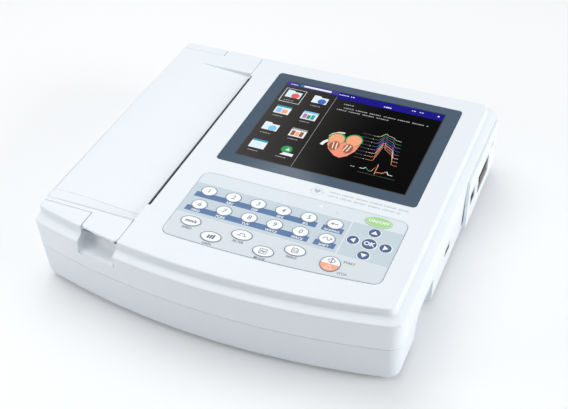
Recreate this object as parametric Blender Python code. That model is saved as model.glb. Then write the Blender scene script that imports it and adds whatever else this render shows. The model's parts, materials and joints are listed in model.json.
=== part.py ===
"""Desktop twelve-lead ECG machine with a built-in full-width thermal printer.

Frame: origin at the centre of the footprint on the table, +X to the right, the keypad side faces -Y,
+Z up. Units are metres.
"""

import math

import bmesh
import bpy
from mathutils import Vector

MM = 0.001

# Case
HALF_WIDTH = 175.5 * MM
HALF_DEPTH = 167.5 * MM
RIGHT_X = 172.4 * MM
TOP_Z = 81.0 * MM
BASE_Z = 4.0 * MM
WALL = 2.5 * MM
GAP = 0.3 * MM
BOW_RADIUS = 734.0 * MM
CORNER_RADIUS = 13.0 * MM
LEFT_CORNER_RADIUS = 4.0 * MM
# Height and inset from the outermost edge, from the seam up over the ledge to the deck
TOP_PROFILE = [(41.65, 0.9), (60.0, 0.3), (69.5, 0.0), (70.9, 0.6), (71.5, 1.9),
               (73.3, 7.4), (74.3, 8.7), (76.2, 9.3), (79.4, 9.6), (80.5, 10.2), (81.0, 11.4)]
TOP_INNER_PROFILE = [(40.0, 3.4), (68.6, 2.9), (69.4, 4.2), (70.9, 10.6), (72.6, 12.1),
                     (76.4, 12.3), (78.5, 13.8)]
BOTTOM_PROFILE = [(4.0, 4.6), (4.9, 2.8), (8.0, 1.9), (24.0, 1.4), (41.35, 0.9)]
BOTTOM_INNER_PROFILE = [(6.5, 7.0), (9.0, 4.6), (24.0, 3.9), (43.0, 3.4)]

# Printer bay and cover
COVER_RIGHT_X = -84.5 * MM
BAY_RIGHT_X = -84.1 * MM
BAY_FRONT_Y = -127.5 * MM
BAY_REAR_Y = 146.4 * MM
TONGUE_FRONT_X = -124.4 * MM
TONGUE_REAR_X = -126.5 * MM
SEAM_GAP = 0.6 * MM
COVER_THICK = 2.5 * MM
RAMP_START_X = -145.3 * MM
RAMP_DROP = 4.0 * MM
RAMP_FRONT_Y = -110.7 * MM
RAMP_REAR_Y = 124.7 * MM
FRONT_CREASE_Y = -122.5 * MM
HINGE_X = -171.0 * MM
HINGE_Z = 72.0 * MM
PIN_RADIUS = 2.0 * MM
SLIT_FRONT_Y = -98.9 * MM
SLIT_REAR_Y = 121.7 * MM
SLIT_RIGHT_X = -81.2 * MM
SCOOP_SETBACK = 5.0 * MM
SCOOP_Z = 73.5 * MM
SCOOP_RADIUS = 13.5 * MM
SCOOP_END_RADIUS = 5.5 * MM
SCOOP_LIP_RADIUS = 4.5 * MM
SLIT_COVER_X = -85.9 * MM

# Printer mechanism
PRINT_CENTRE_Y = 0.5 * (SLIT_FRONT_Y + SLIT_REAR_Y)
PLATEN_X = -90.5 * MM
PLATEN_Z = 66.5 * MM
PLATEN_RADIUS = 6.2 * MM
PLATEN_LENGTH = 220.0 * MM
SHAFT_RADIUS = 2.0 * MM
GEAR_MODULE = 0.8 * MM
PLATEN_TEETH = 13
DRIVE_TEETH = 30
GEAR_ANGLE = math.radians(-20.0)
GEAR_DISTANCE = 0.5 * GEAR_MODULE * (PLATEN_TEETH + DRIVE_TEETH) + 0.15 * MM
DRIVE_X = PLATEN_X + GEAR_DISTANCE * math.cos(GEAR_ANGLE)
DRIVE_Z = PLATEN_Z + GEAR_DISTANCE * math.sin(GEAR_ANGLE)
GEAR_FRONT_Y = 130.0 * MM
GEAR_WIDTH = 4.0 * MM
PAPER_X = -134.0 * MM
PAPER_Z = 40.0 * MM
PAPER_RADIUS = 23.0 * MM
PAPER_WIDTH = 210.0 * MM
SPINDLE_RADIUS = 6.0 * MM
SPINDLE_END_RADIUS = 3.0 * MM

# Display
WINDOW = (-55.7 * MM, 141.3 * MM, -17.1 * MM, 137.8 * MM)
WINDOW_TOP_Z = 80.9 * MM
WINDOW_BOTTOM_Z = 79.5 * MM
LCD_GLASS = (-45.0 * MM, 130.0 * MM, -7.0 * MM, 127.5 * MM)

# Keypad
KEYPAD_LEFT = -55.7 * MM
KEYPAD_RIGHT = 143.0 * MM
KEYPAD_REAR = -38.3 * MM
KEYPAD_FRONT = -128.2 * MM
KEYPAD_BOW = 1080.0 * MM
KEYPAD_CORNER = 8.0 * MM
KEYPAD_TOP_Z = 81.2 * MM
KEYPAD_BOTTOM_Z = 80.0 * MM
KEY_TOP_Z = 81.6 * MM
KEY_CLEARANCE = 0.3 * MM
KEY_FLANGE = 0.6 * MM
KEY_SIDES = 18
DIGIT_PITCH = 24.45 * MM
DIGIT_LEFT_X = -39.2 * MM
DIGIT_ROWS_Y = (-63.5 * MM, -83.0 * MM)
DIGIT_SIZE = (7.67 * MM, 6.57 * MM)
ARROW_RADIUS = 5.9 * MM
ARROW_CENTRE = (118.8 * MM, -76.3 * MM)
ARROW_PITCH = 14.6 * MM
FUNCTION_SIZE = (9.9 * MM, 6.58 * MM)

# Side and rear connectors
PANEL = (47.0 * MM, 156.0 * MM, 12.0 * MM, 68.0 * MM)
PANEL_INNER_X = 172.0 * MM
PANEL_FACE_X = 174.9 * MM
GRIP = (-100.5 * MM, -50.0 * MM, 36.0 * MM)
GRIP_INNER_X = 160.0 * MM
PATIENT_SOCKET = (106.0 * MM, 35.5 * MM, 40.0 * MM, 22.0 * MM)
NETWORK_SOCKET = (64.5 * MM, 40.6 * MM, 17.0 * MM, 15.0 * MM)
USB_SOCKET = (-7.8 * MM, 33.0 * MM, 14.5 * MM, 7.0 * MM)
CARD_SLOT = (138.0 * MM, 49.0 * MM, 13.0 * MM, 3.4 * MM)
INLET_X = (62.0 * MM, 122.0 * MM)
INLET_Z = (13.0 * MM, 38.0 * MM)
INLET_FACE_Y = 164.0 * MM
ROCKER_Y = 160.5 * MM
ROCKER_Z = 25.5 * MM
ROCKER_REST = math.radians(-9.0)
EARTH_X = 138.0 * MM
EARTH_Z = 25.5 * MM
DOOR_TOP_Z = BASE_Z + 2.0 * MM
BATTERY = (40.0 * MM, 120.0 * MM, -60.0 * MM, 20.0 * MM)
FOOT_PLACES = {"front_left": (-148.0 * MM, -118.0 * MM), "front_right": (146.0 * MM, -118.0 * MM),
               "rear_left": (-148.0 * MM, 142.0 * MM), "rear_right": (146.0 * MM, 142.0 * MM)}
FOOT_RADIUS = 8.0 * MM
SCREW_PLACES = ((-150.0 * MM, -90.0 * MM), (148.0 * MM, -90.0 * MM), (-150.0 * MM, 112.0 * MM),
                (148.0 * MM, 112.0 * MM))


def clear_scene():
    for obj in list(bpy.data.objects):
        bpy.data.objects.remove(obj, do_unlink=True)


def make_material(name, colour, roughness, metallic=0.0):
    material = bpy.data.materials.new(name)
    material.use_nodes = True
    shader = material.node_tree.nodes["Principled BSDF"]
    shader.inputs["Base Color"].default_value = (*colour, 1.0)
    shader.inputs["Roughness"].default_value = roughness
    shader.inputs["Metallic"].default_value = metallic
    return material


def make_object(name, bm, colour=(0.5, 0.5, 0.5), roughness=0.5, metallic=0.0, origin=(0.0, 0.0, 0.0)):
    """Turn a bmesh in world coordinates into an object whose origin is at the given point."""
    bmesh.ops.recalc_face_normals(bm, faces=bm.faces)
    bmesh.ops.translate(bm, verts=bm.verts, vec=-Vector(origin))
    mesh = bpy.data.meshes.new(name)
    bm.to_mesh(mesh)
    bm.free()
    obj = bpy.data.objects.new(name, mesh)
    obj.location = origin
    bpy.context.collection.objects.link(obj)
    obj.data.materials.append(make_material(name, colour, roughness, metallic))
    return obj


def loft(rings):
    """Closed solid through rings of equally many points, capped at both ends."""
    bm = bmesh.new()
    rows = [[bm.verts.new(point) for point in ring] for ring in rings]
    count = len(rows[0])
    for lower, upper in zip(rows, rows[1:]):
        for i in range(count):
            j = (i + 1) % count
            bm.faces.new((lower[i], lower[j], upper[j], upper[i]))
    bm.faces.new(rows[0])
    bm.faces.new(rows[-1])
    return bm


def box(x0, x1, y0, y1, z0, z1):
    corners = [(x0, y0), (x1, y0), (x1, y1), (x0, y1)]
    return loft([[(x, y, z) for x, y in corners] for z in (z0, z1)])


def circle(radius, sides, phase=0.0):
    angles = [phase + 2.0 * math.pi * i / sides for i in range(sides)]
    return [(radius * math.cos(a), radius * math.sin(a)) for a in angles]


def turned_y(x, z, profile, sides):
    """Solid turned about an axis along Y from (y, radius) pairs."""
    rings = []
    for y, radius in profile:
        rings.append([(x + u, y, z + v) for u, v in circle(radius, sides)])
    return loft(rings)


def turned_z(x, y, profile, sides):
    rings = []
    for z, radius in profile:
        rings.append([(x + u, y + v, z) for u, v in circle(radius, sides)])
    return loft(rings)


def extrude_x(points, x0, x1):
    return loft([[(x, y, z) for y, z in points] for x in (x0, x1)])


def extrude_y(points, y0, y1):
    return loft([[(x, y, z) for x, z in points] for y in (y0, y1)])


def extrude_z(points, z0, z1):
    return loft([[(x, y, z) for x, y in points] for z in (z0, z1)])


def arc(cx, cy, radius, start, end, steps):
    angles = [start + (end - start) * i / steps for i in range(steps + 1)]
    return [(cx + radius * math.cos(a), cy + radius * math.sin(a)) for a in angles]


def rounded_rectangle(x0, x1, y0, y1, radius, steps=4):
    points = arc(x0 + radius, y0 + radius, radius, math.pi, 1.5 * math.pi, steps)
    points += arc(x1 - radius, y0 + radius, radius, 1.5 * math.pi, 2.0 * math.pi, steps)
    points += arc(x1 - radius, y1 - radius, radius, 0.0, 0.5 * math.pi, steps)
    points += arc(x0 + radius, y1 - radius, radius, 0.5 * math.pi, math.pi, steps)
    return points


def bowed_outline(left, right, front, rear, bow, radii, bow_x=0.0, steps=10):
    """Outline with a bowed front; radii are those of the left and the right corners."""
    centre_y = front + bow
    left_radius, right_radius = radii
    fillets = []
    for side, radius, sign in ((left, left_radius, 1.0), (right, right_radius, -1.0)):
        cx = side + sign * radius
        reach = bow - radius
        cy = centre_y - math.sqrt(reach ** 2 - (cx - bow_x) ** 2)
        lean = math.atan2(cx - bow_x, centre_y - cy)
        fillets.append((cx, cy, radius, lean))
    (lx, ly, lr, left_lean), (rx, ry, rr, right_lean) = fillets
    quarter = 0.5 * math.pi
    points = arc(bow_x, centre_y, bow, left_lean - quarter, -quarter, steps)
    points += arc(bow_x, centre_y, bow, -quarter, right_lean - quarter, steps)[1:]
    points += arc(rx, ry, rr, right_lean - quarter, 0.0, 7)[1:]
    points += arc(right - rr, rear - rr, rr, 0.0, quarter, 7)
    points += arc(left + lr, rear - lr, lr, quarter, math.pi, 3)
    points += arc(lx, ly, lr, math.pi, 3.0 * quarter + left_lean, 3)[:-1]
    return points


def case_ring(height, inset, left):
    """Plan outline of the case at one height, at an inset from its outermost edge."""
    radii = (LEFT_CORNER_RADIUS, max(CORNER_RADIUS - 0.55 * inset, 5.0 * MM))
    outline = bowed_outline(left, RIGHT_X - inset, -HALF_DEPTH + inset, HALF_DEPTH - inset,
                            BOW_RADIUS - inset, radii)
    return [(x, y, height) for x, y in outline]


def boolean(target, bm, operation="DIFFERENCE"):
    """Cut a tool solid from the target or join it on, and keep the result as the target's mesh."""
    tool = make_object("tool", bm)
    modifier = target.modifiers.new("boolean", "BOOLEAN")
    modifier.operation = operation
    modifier.solver = "EXACT"
    modifier.object = tool
    evaluated = target.evaluated_get(bpy.context.evaluated_depsgraph_get())
    mesh = bpy.data.meshes.new_from_object(evaluated)
    target.modifiers.clear()
    old = target.data
    target.data = mesh
    mesh.name = target.name
    bpy.data.meshes.remove(old)
    bpy.data.objects.remove(tool, do_unlink=True)
    return target


def cut(target, *tools):
    for tool in tools:
        boolean(target, tool)
    return target


def join(target, *tools):
    for tool in tools:
        boolean(target, tool, "UNION")
    return target


def take_bmesh(obj):
    """Turn a scratch object back into a bmesh and remove the object."""
    bm = bmesh.new()
    bm.from_mesh(obj.data)
    bpy.data.objects.remove(obj, do_unlink=True)
    return bm


def smooth(obj, degrees=30.0):
    obj.data.shade_smooth()
    obj.data.set_sharp_from_angle(angle=math.radians(degrees))
    return obj


def side_recess(socket, margin, x0, x1):
    """Box through the right wall around a socket given as centre y, centre z, width, height."""
    y, z, width, height = socket
    half_y = 0.5 * width + margin
    half_z = 0.5 * height + margin
    return box(x0, x1, y - half_y, y + half_y, z - half_z, z + half_z)


def scoop_tool(grow, side_margin):
    """Finger trough under the front tongue: round ends, and a lip that rolls onto the bowed front face."""
    x0 = TONGUE_FRONT_X - side_margin
    x1 = COVER_RIGHT_X + side_margin
    ends = [0.0, 0.5 * MM, 1.5 * MM, 3.2 * MM, SCOOP_END_RADIUS]
    stations = [x0 + d for d in ends] + [x0 + 0.5 * (x1 - x0)] + [x1 - d for d in reversed(ends)]
    outside = -HALF_DEPTH - 20.0 * MM
    quarter = 0.5 * math.pi
    rings = []
    for x in stations:
        depth = SCOOP_END_RADIUS - min(x - x0, x1 - x, SCOOP_END_RADIUS)
        pull = SCOOP_END_RADIUS - math.sqrt(SCOOP_END_RADIUS ** 2 - depth ** 2)
        radius = SCOOP_RADIUS + grow - pull
        face_y = deck_edge_y(x, 0.4 * MM)
        lip_y = face_y + SCOOP_LIP_RADIUS
        lip_z = SCOOP_Z - radius - SCOOP_LIP_RADIUS
        points = [(outside, SCOOP_Z + radius)]
        points += arc(face_y + SCOOP_SETBACK, SCOOP_Z, radius, quarter, -quarter, 12)
        points += arc(lip_y, lip_z, SCOOP_LIP_RADIUS, quarter, 1.98 * quarter, 6)
        points.append((outside, lip_z))
        rings.append([(x, y, z) for y, z in points])
    return loft(rings)


def keypad_outline(inset):
    radius = KEYPAD_CORNER - inset
    return bowed_outline(KEYPAD_LEFT + inset, KEYPAD_RIGHT - inset, KEYPAD_FRONT + inset,
                         KEYPAD_REAR - inset, KEYPAD_BOW - inset, (radius, radius),
                         bow_x=-5.0 * MM, steps=6)


def top_shell():
    """Upper case half: walls, stepped ledge, deck, bay for the printer and pockets for the panels."""
    rings = []
    for height, inset in TOP_PROFILE:
        edge = max(0.0, inset - 9.6) if height > 80.0 else 0.0
        rings.append(case_ring(height * MM, inset * MM, -HALF_WIDTH + edge * MM))
    shell = make_object("top_shell", loft(rings), (0.90, 0.92, 0.95), 0.35)

    inner_left = -HALF_WIDTH + WALL
    inner = [case_ring(z * MM, inset * MM, inner_left) for z, inset in TOP_INNER_PROFILE]
    cavity = make_object("cavity", loft(inner))
    low = 30.0 * MM
    high = 100.0 * MM
    far_left = -200.0 * MM
    wall = 3.5 * MM
    deck_low = 75.2 * MM
    cut(cavity,
        box(far_left, BAY_RIGHT_X, BAY_FRONT_Y - wall, BAY_FRONT_Y, low, high),
        box(far_left, BAY_RIGHT_X, BAY_REAR_Y, BAY_REAR_Y + wall, low, high),
        box(TONGUE_FRONT_X - 4 * MM, COVER_RIGHT_X + 4 * MM, -HALF_DEPTH, BAY_FRONT_Y - MM, deck_low, high),
        box(TONGUE_REAR_X - 4 * MM, COVER_RIGHT_X + 4 * MM, BAY_REAR_Y + MM, HALF_DEPTH, deck_low, high),
        scoop_tool(WALL, 2.6 * MM),
        box(WINDOW[0] - 4 * MM, WINDOW[1] + 4 * MM, WINDOW[2] - 4 * MM, WINDOW[3] + 4 * MM,
            76.6 * MM, high),
        box(166.5 * MM, high * 2, PANEL[0] - 4 * MM, PANEL[1] + 1.5 * MM, low, PANEL[3] + 4 * MM))
    cut(shell, take_bmesh(cavity))

    recess_z = TOP_Z - COVER_THICK - GAP
    cut(shell,
        box(far_left, BAY_RIGHT_X, BAY_FRONT_Y, BAY_REAR_Y, 64.3 * MM, high),
        box(BAY_RIGHT_X - MM, SLIT_RIGHT_X, SLIT_FRONT_Y, SLIT_REAR_Y, 70.0 * MM, high),
        box(TONGUE_FRONT_X - SEAM_GAP, BAY_RIGHT_X, -HALF_DEPTH - MM, BAY_FRONT_Y + MM, recess_z, high),
        box(TONGUE_REAR_X - SEAM_GAP, BAY_RIGHT_X, BAY_REAR_Y - MM, HALF_DEPTH + MM, recess_z, high),
        scoop_tool(0.0, -0.4 * MM))
    window = rounded_rectangle(WINDOW[0] - GAP, WINDOW[1] + GAP, WINDOW[2] - GAP, WINDOW[3] + GAP, 4 * MM)
    glass = rounded_rectangle(LCD_GLASS[0] - MM, LCD_GLASS[1] + MM, LCD_GLASS[2] - MM,
                              LCD_GLASS[3] + MM, 2 * MM, 2)
    cut(shell,
        extrude_z(window, WINDOW_BOTTOM_Z - GAP, high),
        extrude_z(glass, 70.0 * MM, high),
        extrude_z(keypad_outline(-GAP), KEYPAD_BOTTOM_Z - GAP, high),
        extrude_z(keypad_outline(1.5 * MM), 70.0 * MM, high))
    cut(shell,
        box(PANEL_INNER_X - GAP, high * 2, PANEL[0] - GAP, PANEL[1] + GAP, low, PANEL[3] + GAP),
        side_recess(PATIENT_SOCKET, GAP, 150 * MM, 180 * MM),
        side_recess(NETWORK_SOCKET, GAP, 150 * MM, 180 * MM))
    for y in (BAY_FRONT_Y - 2 * wall, BAY_REAR_Y - wall):
        pin_hole = [(y, PIN_RADIUS + GAP), (y + 3 * wall, PIN_RADIUS + GAP)]
        cut(shell, turned_y(HINGE_X, HINGE_Z, pin_hole, 16))
    return smooth(shell)


def bottom_shell():
    """Lower case half: tray with the side grip, connector walls, battery well and board posts."""
    def left_edge(inset):
        return -HALF_WIDTH + max(0.0, inset - 0.9) * MM

    rings = [case_ring(z * MM, inset * MM, left_edge(inset)) for z, inset in BOTTOM_PROFILE]
    shell = make_object("bottom_shell", loft(rings), (0.84, 0.87, 0.91), 0.4)

    inner = [case_ring(z * MM, inset * MM, left_edge(inset - 2.0) + 2.0 * MM)
             for z, inset in BOTTOM_INNER_PROFILE]
    cavity = make_object("cavity", loft(inner))
    grip_front, grip_rear, grip_top = GRIP
    wall = 3.0 * MM
    cut(cavity,
        box(GRIP_INNER_X - wall, 190 * MM, grip_front - wall, grip_rear + wall, 0.0, grip_top + wall),
        box(166.5 * MM, 190 * MM, PANEL[0] - 4 * MM, PANEL[1] + 1.5 * MM, 0.0, 60 * MM),
        box(INLET_X[0] - 4 * MM, EARTH_X + 10 * MM, INLET_FACE_Y - 4.5 * MM, 190 * MM, 0.0, 60 * MM),
        box(EARTH_X - 9.5 * MM, EARTH_X + 9.5 * MM, 153 * MM, 190 * MM, 0.0, EARTH_Z + 9.5 * MM),
        box(BATTERY[0] - 3 * MM, BATTERY[1] + 3 * MM, BATTERY[2] - 3 * MM, BATTERY[3] + 3 * MM,
            0.0, 10.8 * MM))
    for x in (-60 * MM, 25 * MM, 145 * MM):
        for y in (-10 * MM, 132 * MM):
            cut(cavity, turned_z(x, y, [(5 * MM, 3.2 * MM), (35.7 * MM, 3.2 * MM)], 12))
    cut(shell, take_bmesh(cavity))

    grip = [(grip_front, -MM), (grip_rear, -MM)]
    grip += arc(grip_rear - 6 * MM, grip_top - 6 * MM, 6 * MM, 0.0, 0.5 * math.pi, 4)
    grip += arc(grip_front + 16 * MM, grip_top - 16 * MM, 16 * MM, 0.5 * math.pi, math.pi, 6)
    cut(shell, extrude_x(grip, GRIP_INNER_X, 190 * MM))
    cut(shell,
        box(PANEL_INNER_X - GAP, 190 * MM, PANEL[0] - GAP, PANEL[1] + GAP, PANEL[2] - GAP, 60 * MM),
        side_recess(PATIENT_SOCKET, GAP, 150 * MM, 180 * MM),
        side_recess(NETWORK_SOCKET, GAP, 150 * MM, 180 * MM),
        side_recess(USB_SOCKET, GAP, 150 * MM, 180 * MM),
        box(INLET_X[0] - GAP, EARTH_X + 9 * MM, INLET_FACE_Y, 190 * MM, INLET_Z[0] - GAP, INLET_Z[1] + GAP),
        box(INLET_X[0] + 2.7 * MM, INLET_X[1] - 2.7 * MM, 130 * MM, 190 * MM,
            INLET_Z[0] + 2.2 * MM, INLET_Z[1] - 2.2 * MM),
        turned_y(EARTH_X, EARTH_Z, [(157 * MM, 6.8 * MM), (190 * MM, 6.8 * MM)], 20),
        box(BATTERY[0] - GAP, BATTERY[1] + GAP, BATTERY[2] - GAP, BATTERY[3] + GAP, 0.0, DOOR_TOP_Z + GAP),
        box(BATTERY[0] + 5 * MM, BATTERY[1] - 5 * MM, BATTERY[2] + 5 * MM, BATTERY[3] - 5 * MM,
            0.0, 20 * MM))
    vents(shell)
    for x, y in SCREW_PLACES:
        cut(shell, turned_z(x, y, [(BASE_Z - MM, 3.8 * MM), (BASE_Z + 1.3 * MM, 3.8 * MM)], 20))
    return smooth(shell)


def vents(shell):
    """Cooling slots through the rear wall and the floor."""
    for i in range(9):
        x = (-40.0 + 8.0 * i) * MM
        cut(shell, box(x, x + 2.4 * MM, 150 * MM, 190 * MM, 15 * MM, 33 * MM))
    for i in range(6):
        x = (-62.0 + 9.0 * i) * MM
        cut(shell, box(x, x + 2.6 * MM, 60 * MM, 105 * MM, 0.0, 9 * MM))


def deck_edge_y(x, inset):
    """Front edge of the deck at one x."""
    bow = BOW_RADIUS - inset
    return -HALF_DEPTH + BOW_RADIUS - math.sqrt(bow ** 2 - x ** 2)


def cover_slab(x0, x1, y0, y1):
    """Rectangle of the cover with its outer edge softened, flat on top."""
    soft = 0.8 * MM
    rings = []
    for z, inset in ((TOP_Z - COVER_THICK, 0.0), (TOP_Z - soft, 0.0), (TOP_Z, soft)):
        rings.append([(x, y, z) for x, y in
                      [(x0 + inset, y0), (x1, y0), (x1, y1), (x0 + inset, y1)]])
    return loft(rings)


def tongue(x0, x1, y_root, edge_y, sign):
    """Thin lip of the cover that reaches to the edge of the deck, with round outer corners."""
    radius = 4.0 * MM
    ends = [edge_y(x0), edge_y(x1)]
    points = [(x0, y_root)]
    start = math.pi
    middle = (1.0 - 0.5 * sign) * math.pi
    end = (1.0 - sign) * math.pi
    points += arc(x0 + radius, ends[0] - sign * radius, radius, start, middle, 4)
    points += [(x, edge_y(x)) for x in (x0 + 0.4 * (x1 - x0), x0 + 0.6 * (x1 - x0))]
    points += arc(x1 - radius, ends[1] - sign * radius, radius, middle, end, 4)
    points.append((x1, y_root))
    top = []
    centre_x = 0.5 * (x0 + x1)
    for x, y in points:
        top.append((x + (0.4 * MM if x < centre_x else 0.0), y - sign * 0.5 * MM if y != y_root else y))
    return loft([[(x, y, TOP_Z - COVER_THICK) for x, y in points],
                 [(x, y, TOP_Z - 0.7 * MM) for x, y in points],
                 [(x, y, TOP_Z) for x, y in top]])


def printer_cover():
    """Hinged cover over the paper bay, with the hinge knuckles and the ears that carry the platen."""
    front = BAY_FRONT_Y + 0.4 * MM
    rear = BAY_REAR_Y - 0.4 * MM
    cover = make_object("printer_cover", cover_slab(-HALF_WIDTH, COVER_RIGHT_X, front, rear),
                        (0.90, 0.92, 0.95), 0.35, origin=(HINGE_X, 0.0, HINGE_Z))
    low_z = TOP_Z - COVER_THICK - RAMP_DROP
    under_z = TOP_Z - COVER_THICK
    wedge = [(RAMP_START_X, under_z + MM), (COVER_RIGHT_X, under_z + MM), (COVER_RIGHT_X, low_z),
             (RAMP_START_X, under_z - 0.1 * MM)]
    join(cover, extrude_y(wedge, FRONT_CREASE_Y, RAMP_REAR_Y + COVER_THICK))
    high = TOP_Z + 5.5 * MM
    wedge_high = [(RAMP_START_X, y, high) for y in (FRONT_CREASE_Y, RAMP_REAR_Y)]
    bm = bmesh.new()
    start = [bm.verts.new((RAMP_START_X, y, TOP_Z)) for y in (FRONT_CREASE_Y, RAMP_FRONT_Y, RAMP_REAR_Y)]
    right = COVER_RIGHT_X + 2 * MM
    slope = RAMP_DROP / (COVER_RIGHT_X - RAMP_START_X)
    low = TOP_Z - slope * (right - RAMP_START_X)
    end = [bm.verts.new((right, FRONT_CREASE_Y, TOP_Z)), bm.verts.new((right, RAMP_FRONT_Y, low)),
           bm.verts.new((right, RAMP_REAR_Y, low))]
    lid = [bm.verts.new(co) for co in wedge_high]
    lid += [bm.verts.new((right, y, high)) for y in (RAMP_REAR_Y, FRONT_CREASE_Y)]
    bm.faces.new((start[0], start[1], end[1]))
    bm.faces.new((start[0], end[1], end[0]))
    bm.faces.new((start[1], start[2], end[2], end[1]))
    bm.faces.new((start[2], lid[1], lid[2], end[2]))
    bm.faces.new((start[0], start[1], start[2], lid[1], lid[0]))
    bm.faces.new((end[0], end[1], end[2], lid[2], lid[3]))
    bm.faces.new((start[0], end[0], lid[3], lid[0]))
    bm.faces.new(lid)
    cut(cover, bm)
    groove = 0.35 * MM
    depth = 0.16 * MM
    ramp_line = [(RAMP_START_X - 0.2 * MM, TOP_Z - depth), (right, low - depth), (right, high),
                 (RAMP_START_X - 0.2 * MM, high)]
    cut(cover,
        box(SLIT_COVER_X, 0.0, SLIT_FRONT_Y, SLIT_REAR_Y, 60 * MM, 90 * MM),
        box(-HALF_WIDTH - MM, 0.0, FRONT_CREASE_Y - groove - 0.05 * MM, FRONT_CREASE_Y - 0.05 * MM,
            TOP_Z - depth, 90 * MM),
        box(-HALF_WIDTH - MM, RAMP_START_X, RAMP_FRONT_Y - groove, RAMP_FRONT_Y, TOP_Z - depth, 90 * MM),
        extrude_y(ramp_line, RAMP_FRONT_Y - groove, RAMP_FRONT_Y))
    for y in (-70 * MM, 10 * MM, 90 * MM):
        join(cover, box(-160 * MM, -100 * MM, y, y + 1.6 * MM, 72.5 * MM, TOP_Z - COVER_THICK - 0.5 * MM))

    skirt_low = 66.0 * MM
    join(cover,
         box(-HALF_WIDTH, -HALF_WIDTH + WALL, front, rear, skirt_low, TOP_Z - 1.2 * MM),
         box(-174.5 * MM, -167.0 * MM, front, front + 8 * MM, 67.5 * MM, 79 * MM),
         box(-174.5 * MM, -167.0 * MM, rear - 8 * MM, rear, 67.5 * MM, 79 * MM))
    join(cover,
         tongue(TONGUE_FRONT_X, COVER_RIGHT_X, front + 2 * MM, lambda x: deck_edge_y(x, 10.2 * MM), -1.0),
         tongue(TONGUE_REAR_X, COVER_RIGHT_X, rear - 2 * MM, lambda x: HALF_DEPTH - 10.2 * MM, 1.0))
    for y0, y1 in ((-105.5 * MM, -102.5 * MM), (125.5 * MM, 128.5 * MM)):
        ear = [(-96.5 * MM, 79.0 * MM), (-96.5 * MM, 66.0 * MM)]
        ear += arc(PLATEN_X, PLATEN_Z, 5.8 * MM, 1.1 * math.pi, 1.9 * math.pi, 5)
        ear += [(-85.2 * MM, 70.0 * MM), (-85.2 * MM, 79.0 * MM)]
        top_limit = 75.4 * MM if y1 < 0 else 79.5 * MM
        ear = [(x, min(z, top_limit)) for x, z in ear]
        join(cover, extrude_y(ear, y0, y1))
        cut(cover, turned_y(PLATEN_X, PLATEN_Z, [(y0 - MM, 4.3 * MM), (y1 + MM, 4.3 * MM)], 16))
    for y in (front - MM, rear - 9 * MM):
        cut(cover, turned_y(HINGE_X, HINGE_Z, [(y, PIN_RADIUS + GAP), (y + 10 * MM, PIN_RADIUS + GAP)], 16))
    return smooth(cover)


def hinge_pins():
    for name, y0, y1 in (("hinge_pin_front", -133.5 * MM, -120.5 * MM),
                         ("hinge_pin_rear", 139.5 * MM, 152.5 * MM)):
        profile = [(y0, PIN_RADIUS - 0.4 * MM), (y0 + 0.5 * MM, PIN_RADIUS),
                   (y1 - 0.5 * MM, PIN_RADIUS), (y1, PIN_RADIUS - 0.4 * MM)]
        smooth(make_object(name, turned_y(HINGE_X, HINGE_Z, profile, 16), (0.7, 0.7, 0.72), 0.25, 1.0))


def tear_bar():
    """Serrated strip on the cover's edge that the paper is torn against."""
    x0 = SLIT_COVER_X + GAP
    x1 = x0 + 0.9 * MM
    y0 = SLIT_FRONT_Y + 0.8 * MM
    y1 = SLIT_REAR_Y - 0.8 * MM
    make_object("tear_bar", box(x0, x1, y0, y1, 73.6 * MM, 76.9 * MM), (0.78, 0.80, 0.83), 0.3, 0.8)


def platen():
    y0 = PRINT_CENTRE_Y - 0.5 * PLATEN_LENGTH
    y1 = PRINT_CENTRE_Y + 0.5 * PLATEN_LENGTH
    axis = (PLATEN_X, PRINT_CENTRE_Y, PLATEN_Z)
    soft = 0.6 * MM
    roller = make_object("platen_roller", turned_y(PLATEN_X, PLATEN_Z, [
        (y0, PLATEN_RADIUS - soft), (y0 + soft, PLATEN_RADIUS), (y1 - soft, PLATEN_RADIUS),
        (y1, PLATEN_RADIUS - soft)], 28), (0.05, 0.05, 0.055), 0.7, origin=axis)
    bore = SHAFT_RADIUS + GAP
    smooth(cut(roller, turned_y(PLATEN_X, PLATEN_Z, [(y0 - MM, bore), (y1 + MM, bore)], 16)))

    ends = (y0 - 8.5 * MM, GEAR_FRONT_Y + GEAR_WIDTH + 1.5 * MM)
    shaft = make_object("platen_shaft", turned_y(PLATEN_X, PLATEN_Z, [
        (ends[0], SHAFT_RADIUS - 0.4 * MM), (ends[0] + 0.5 * MM, SHAFT_RADIUS),
        (ends[1] - 0.5 * MM, SHAFT_RADIUS), (ends[1], SHAFT_RADIUS - 0.4 * MM)], 16),
        (0.7, 0.7, 0.72), 0.2, 1.0, origin=axis)
    smooth(shaft)

    for name, y in (("platen_bush_front", -105.5 * MM), ("platen_bush_rear", 125.5 * MM)):
        bush = make_object(name, turned_y(PLATEN_X, PLATEN_Z, [(y, 4 * MM), (y + 3 * MM, 4 * MM)], 16),
                           (0.75, 0.72, 0.65), 0.4)
        smooth(cut(bush, turned_y(PLATEN_X, PLATEN_Z, [(y - MM, bore), (y + 4 * MM, bore)], 16)))


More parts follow.
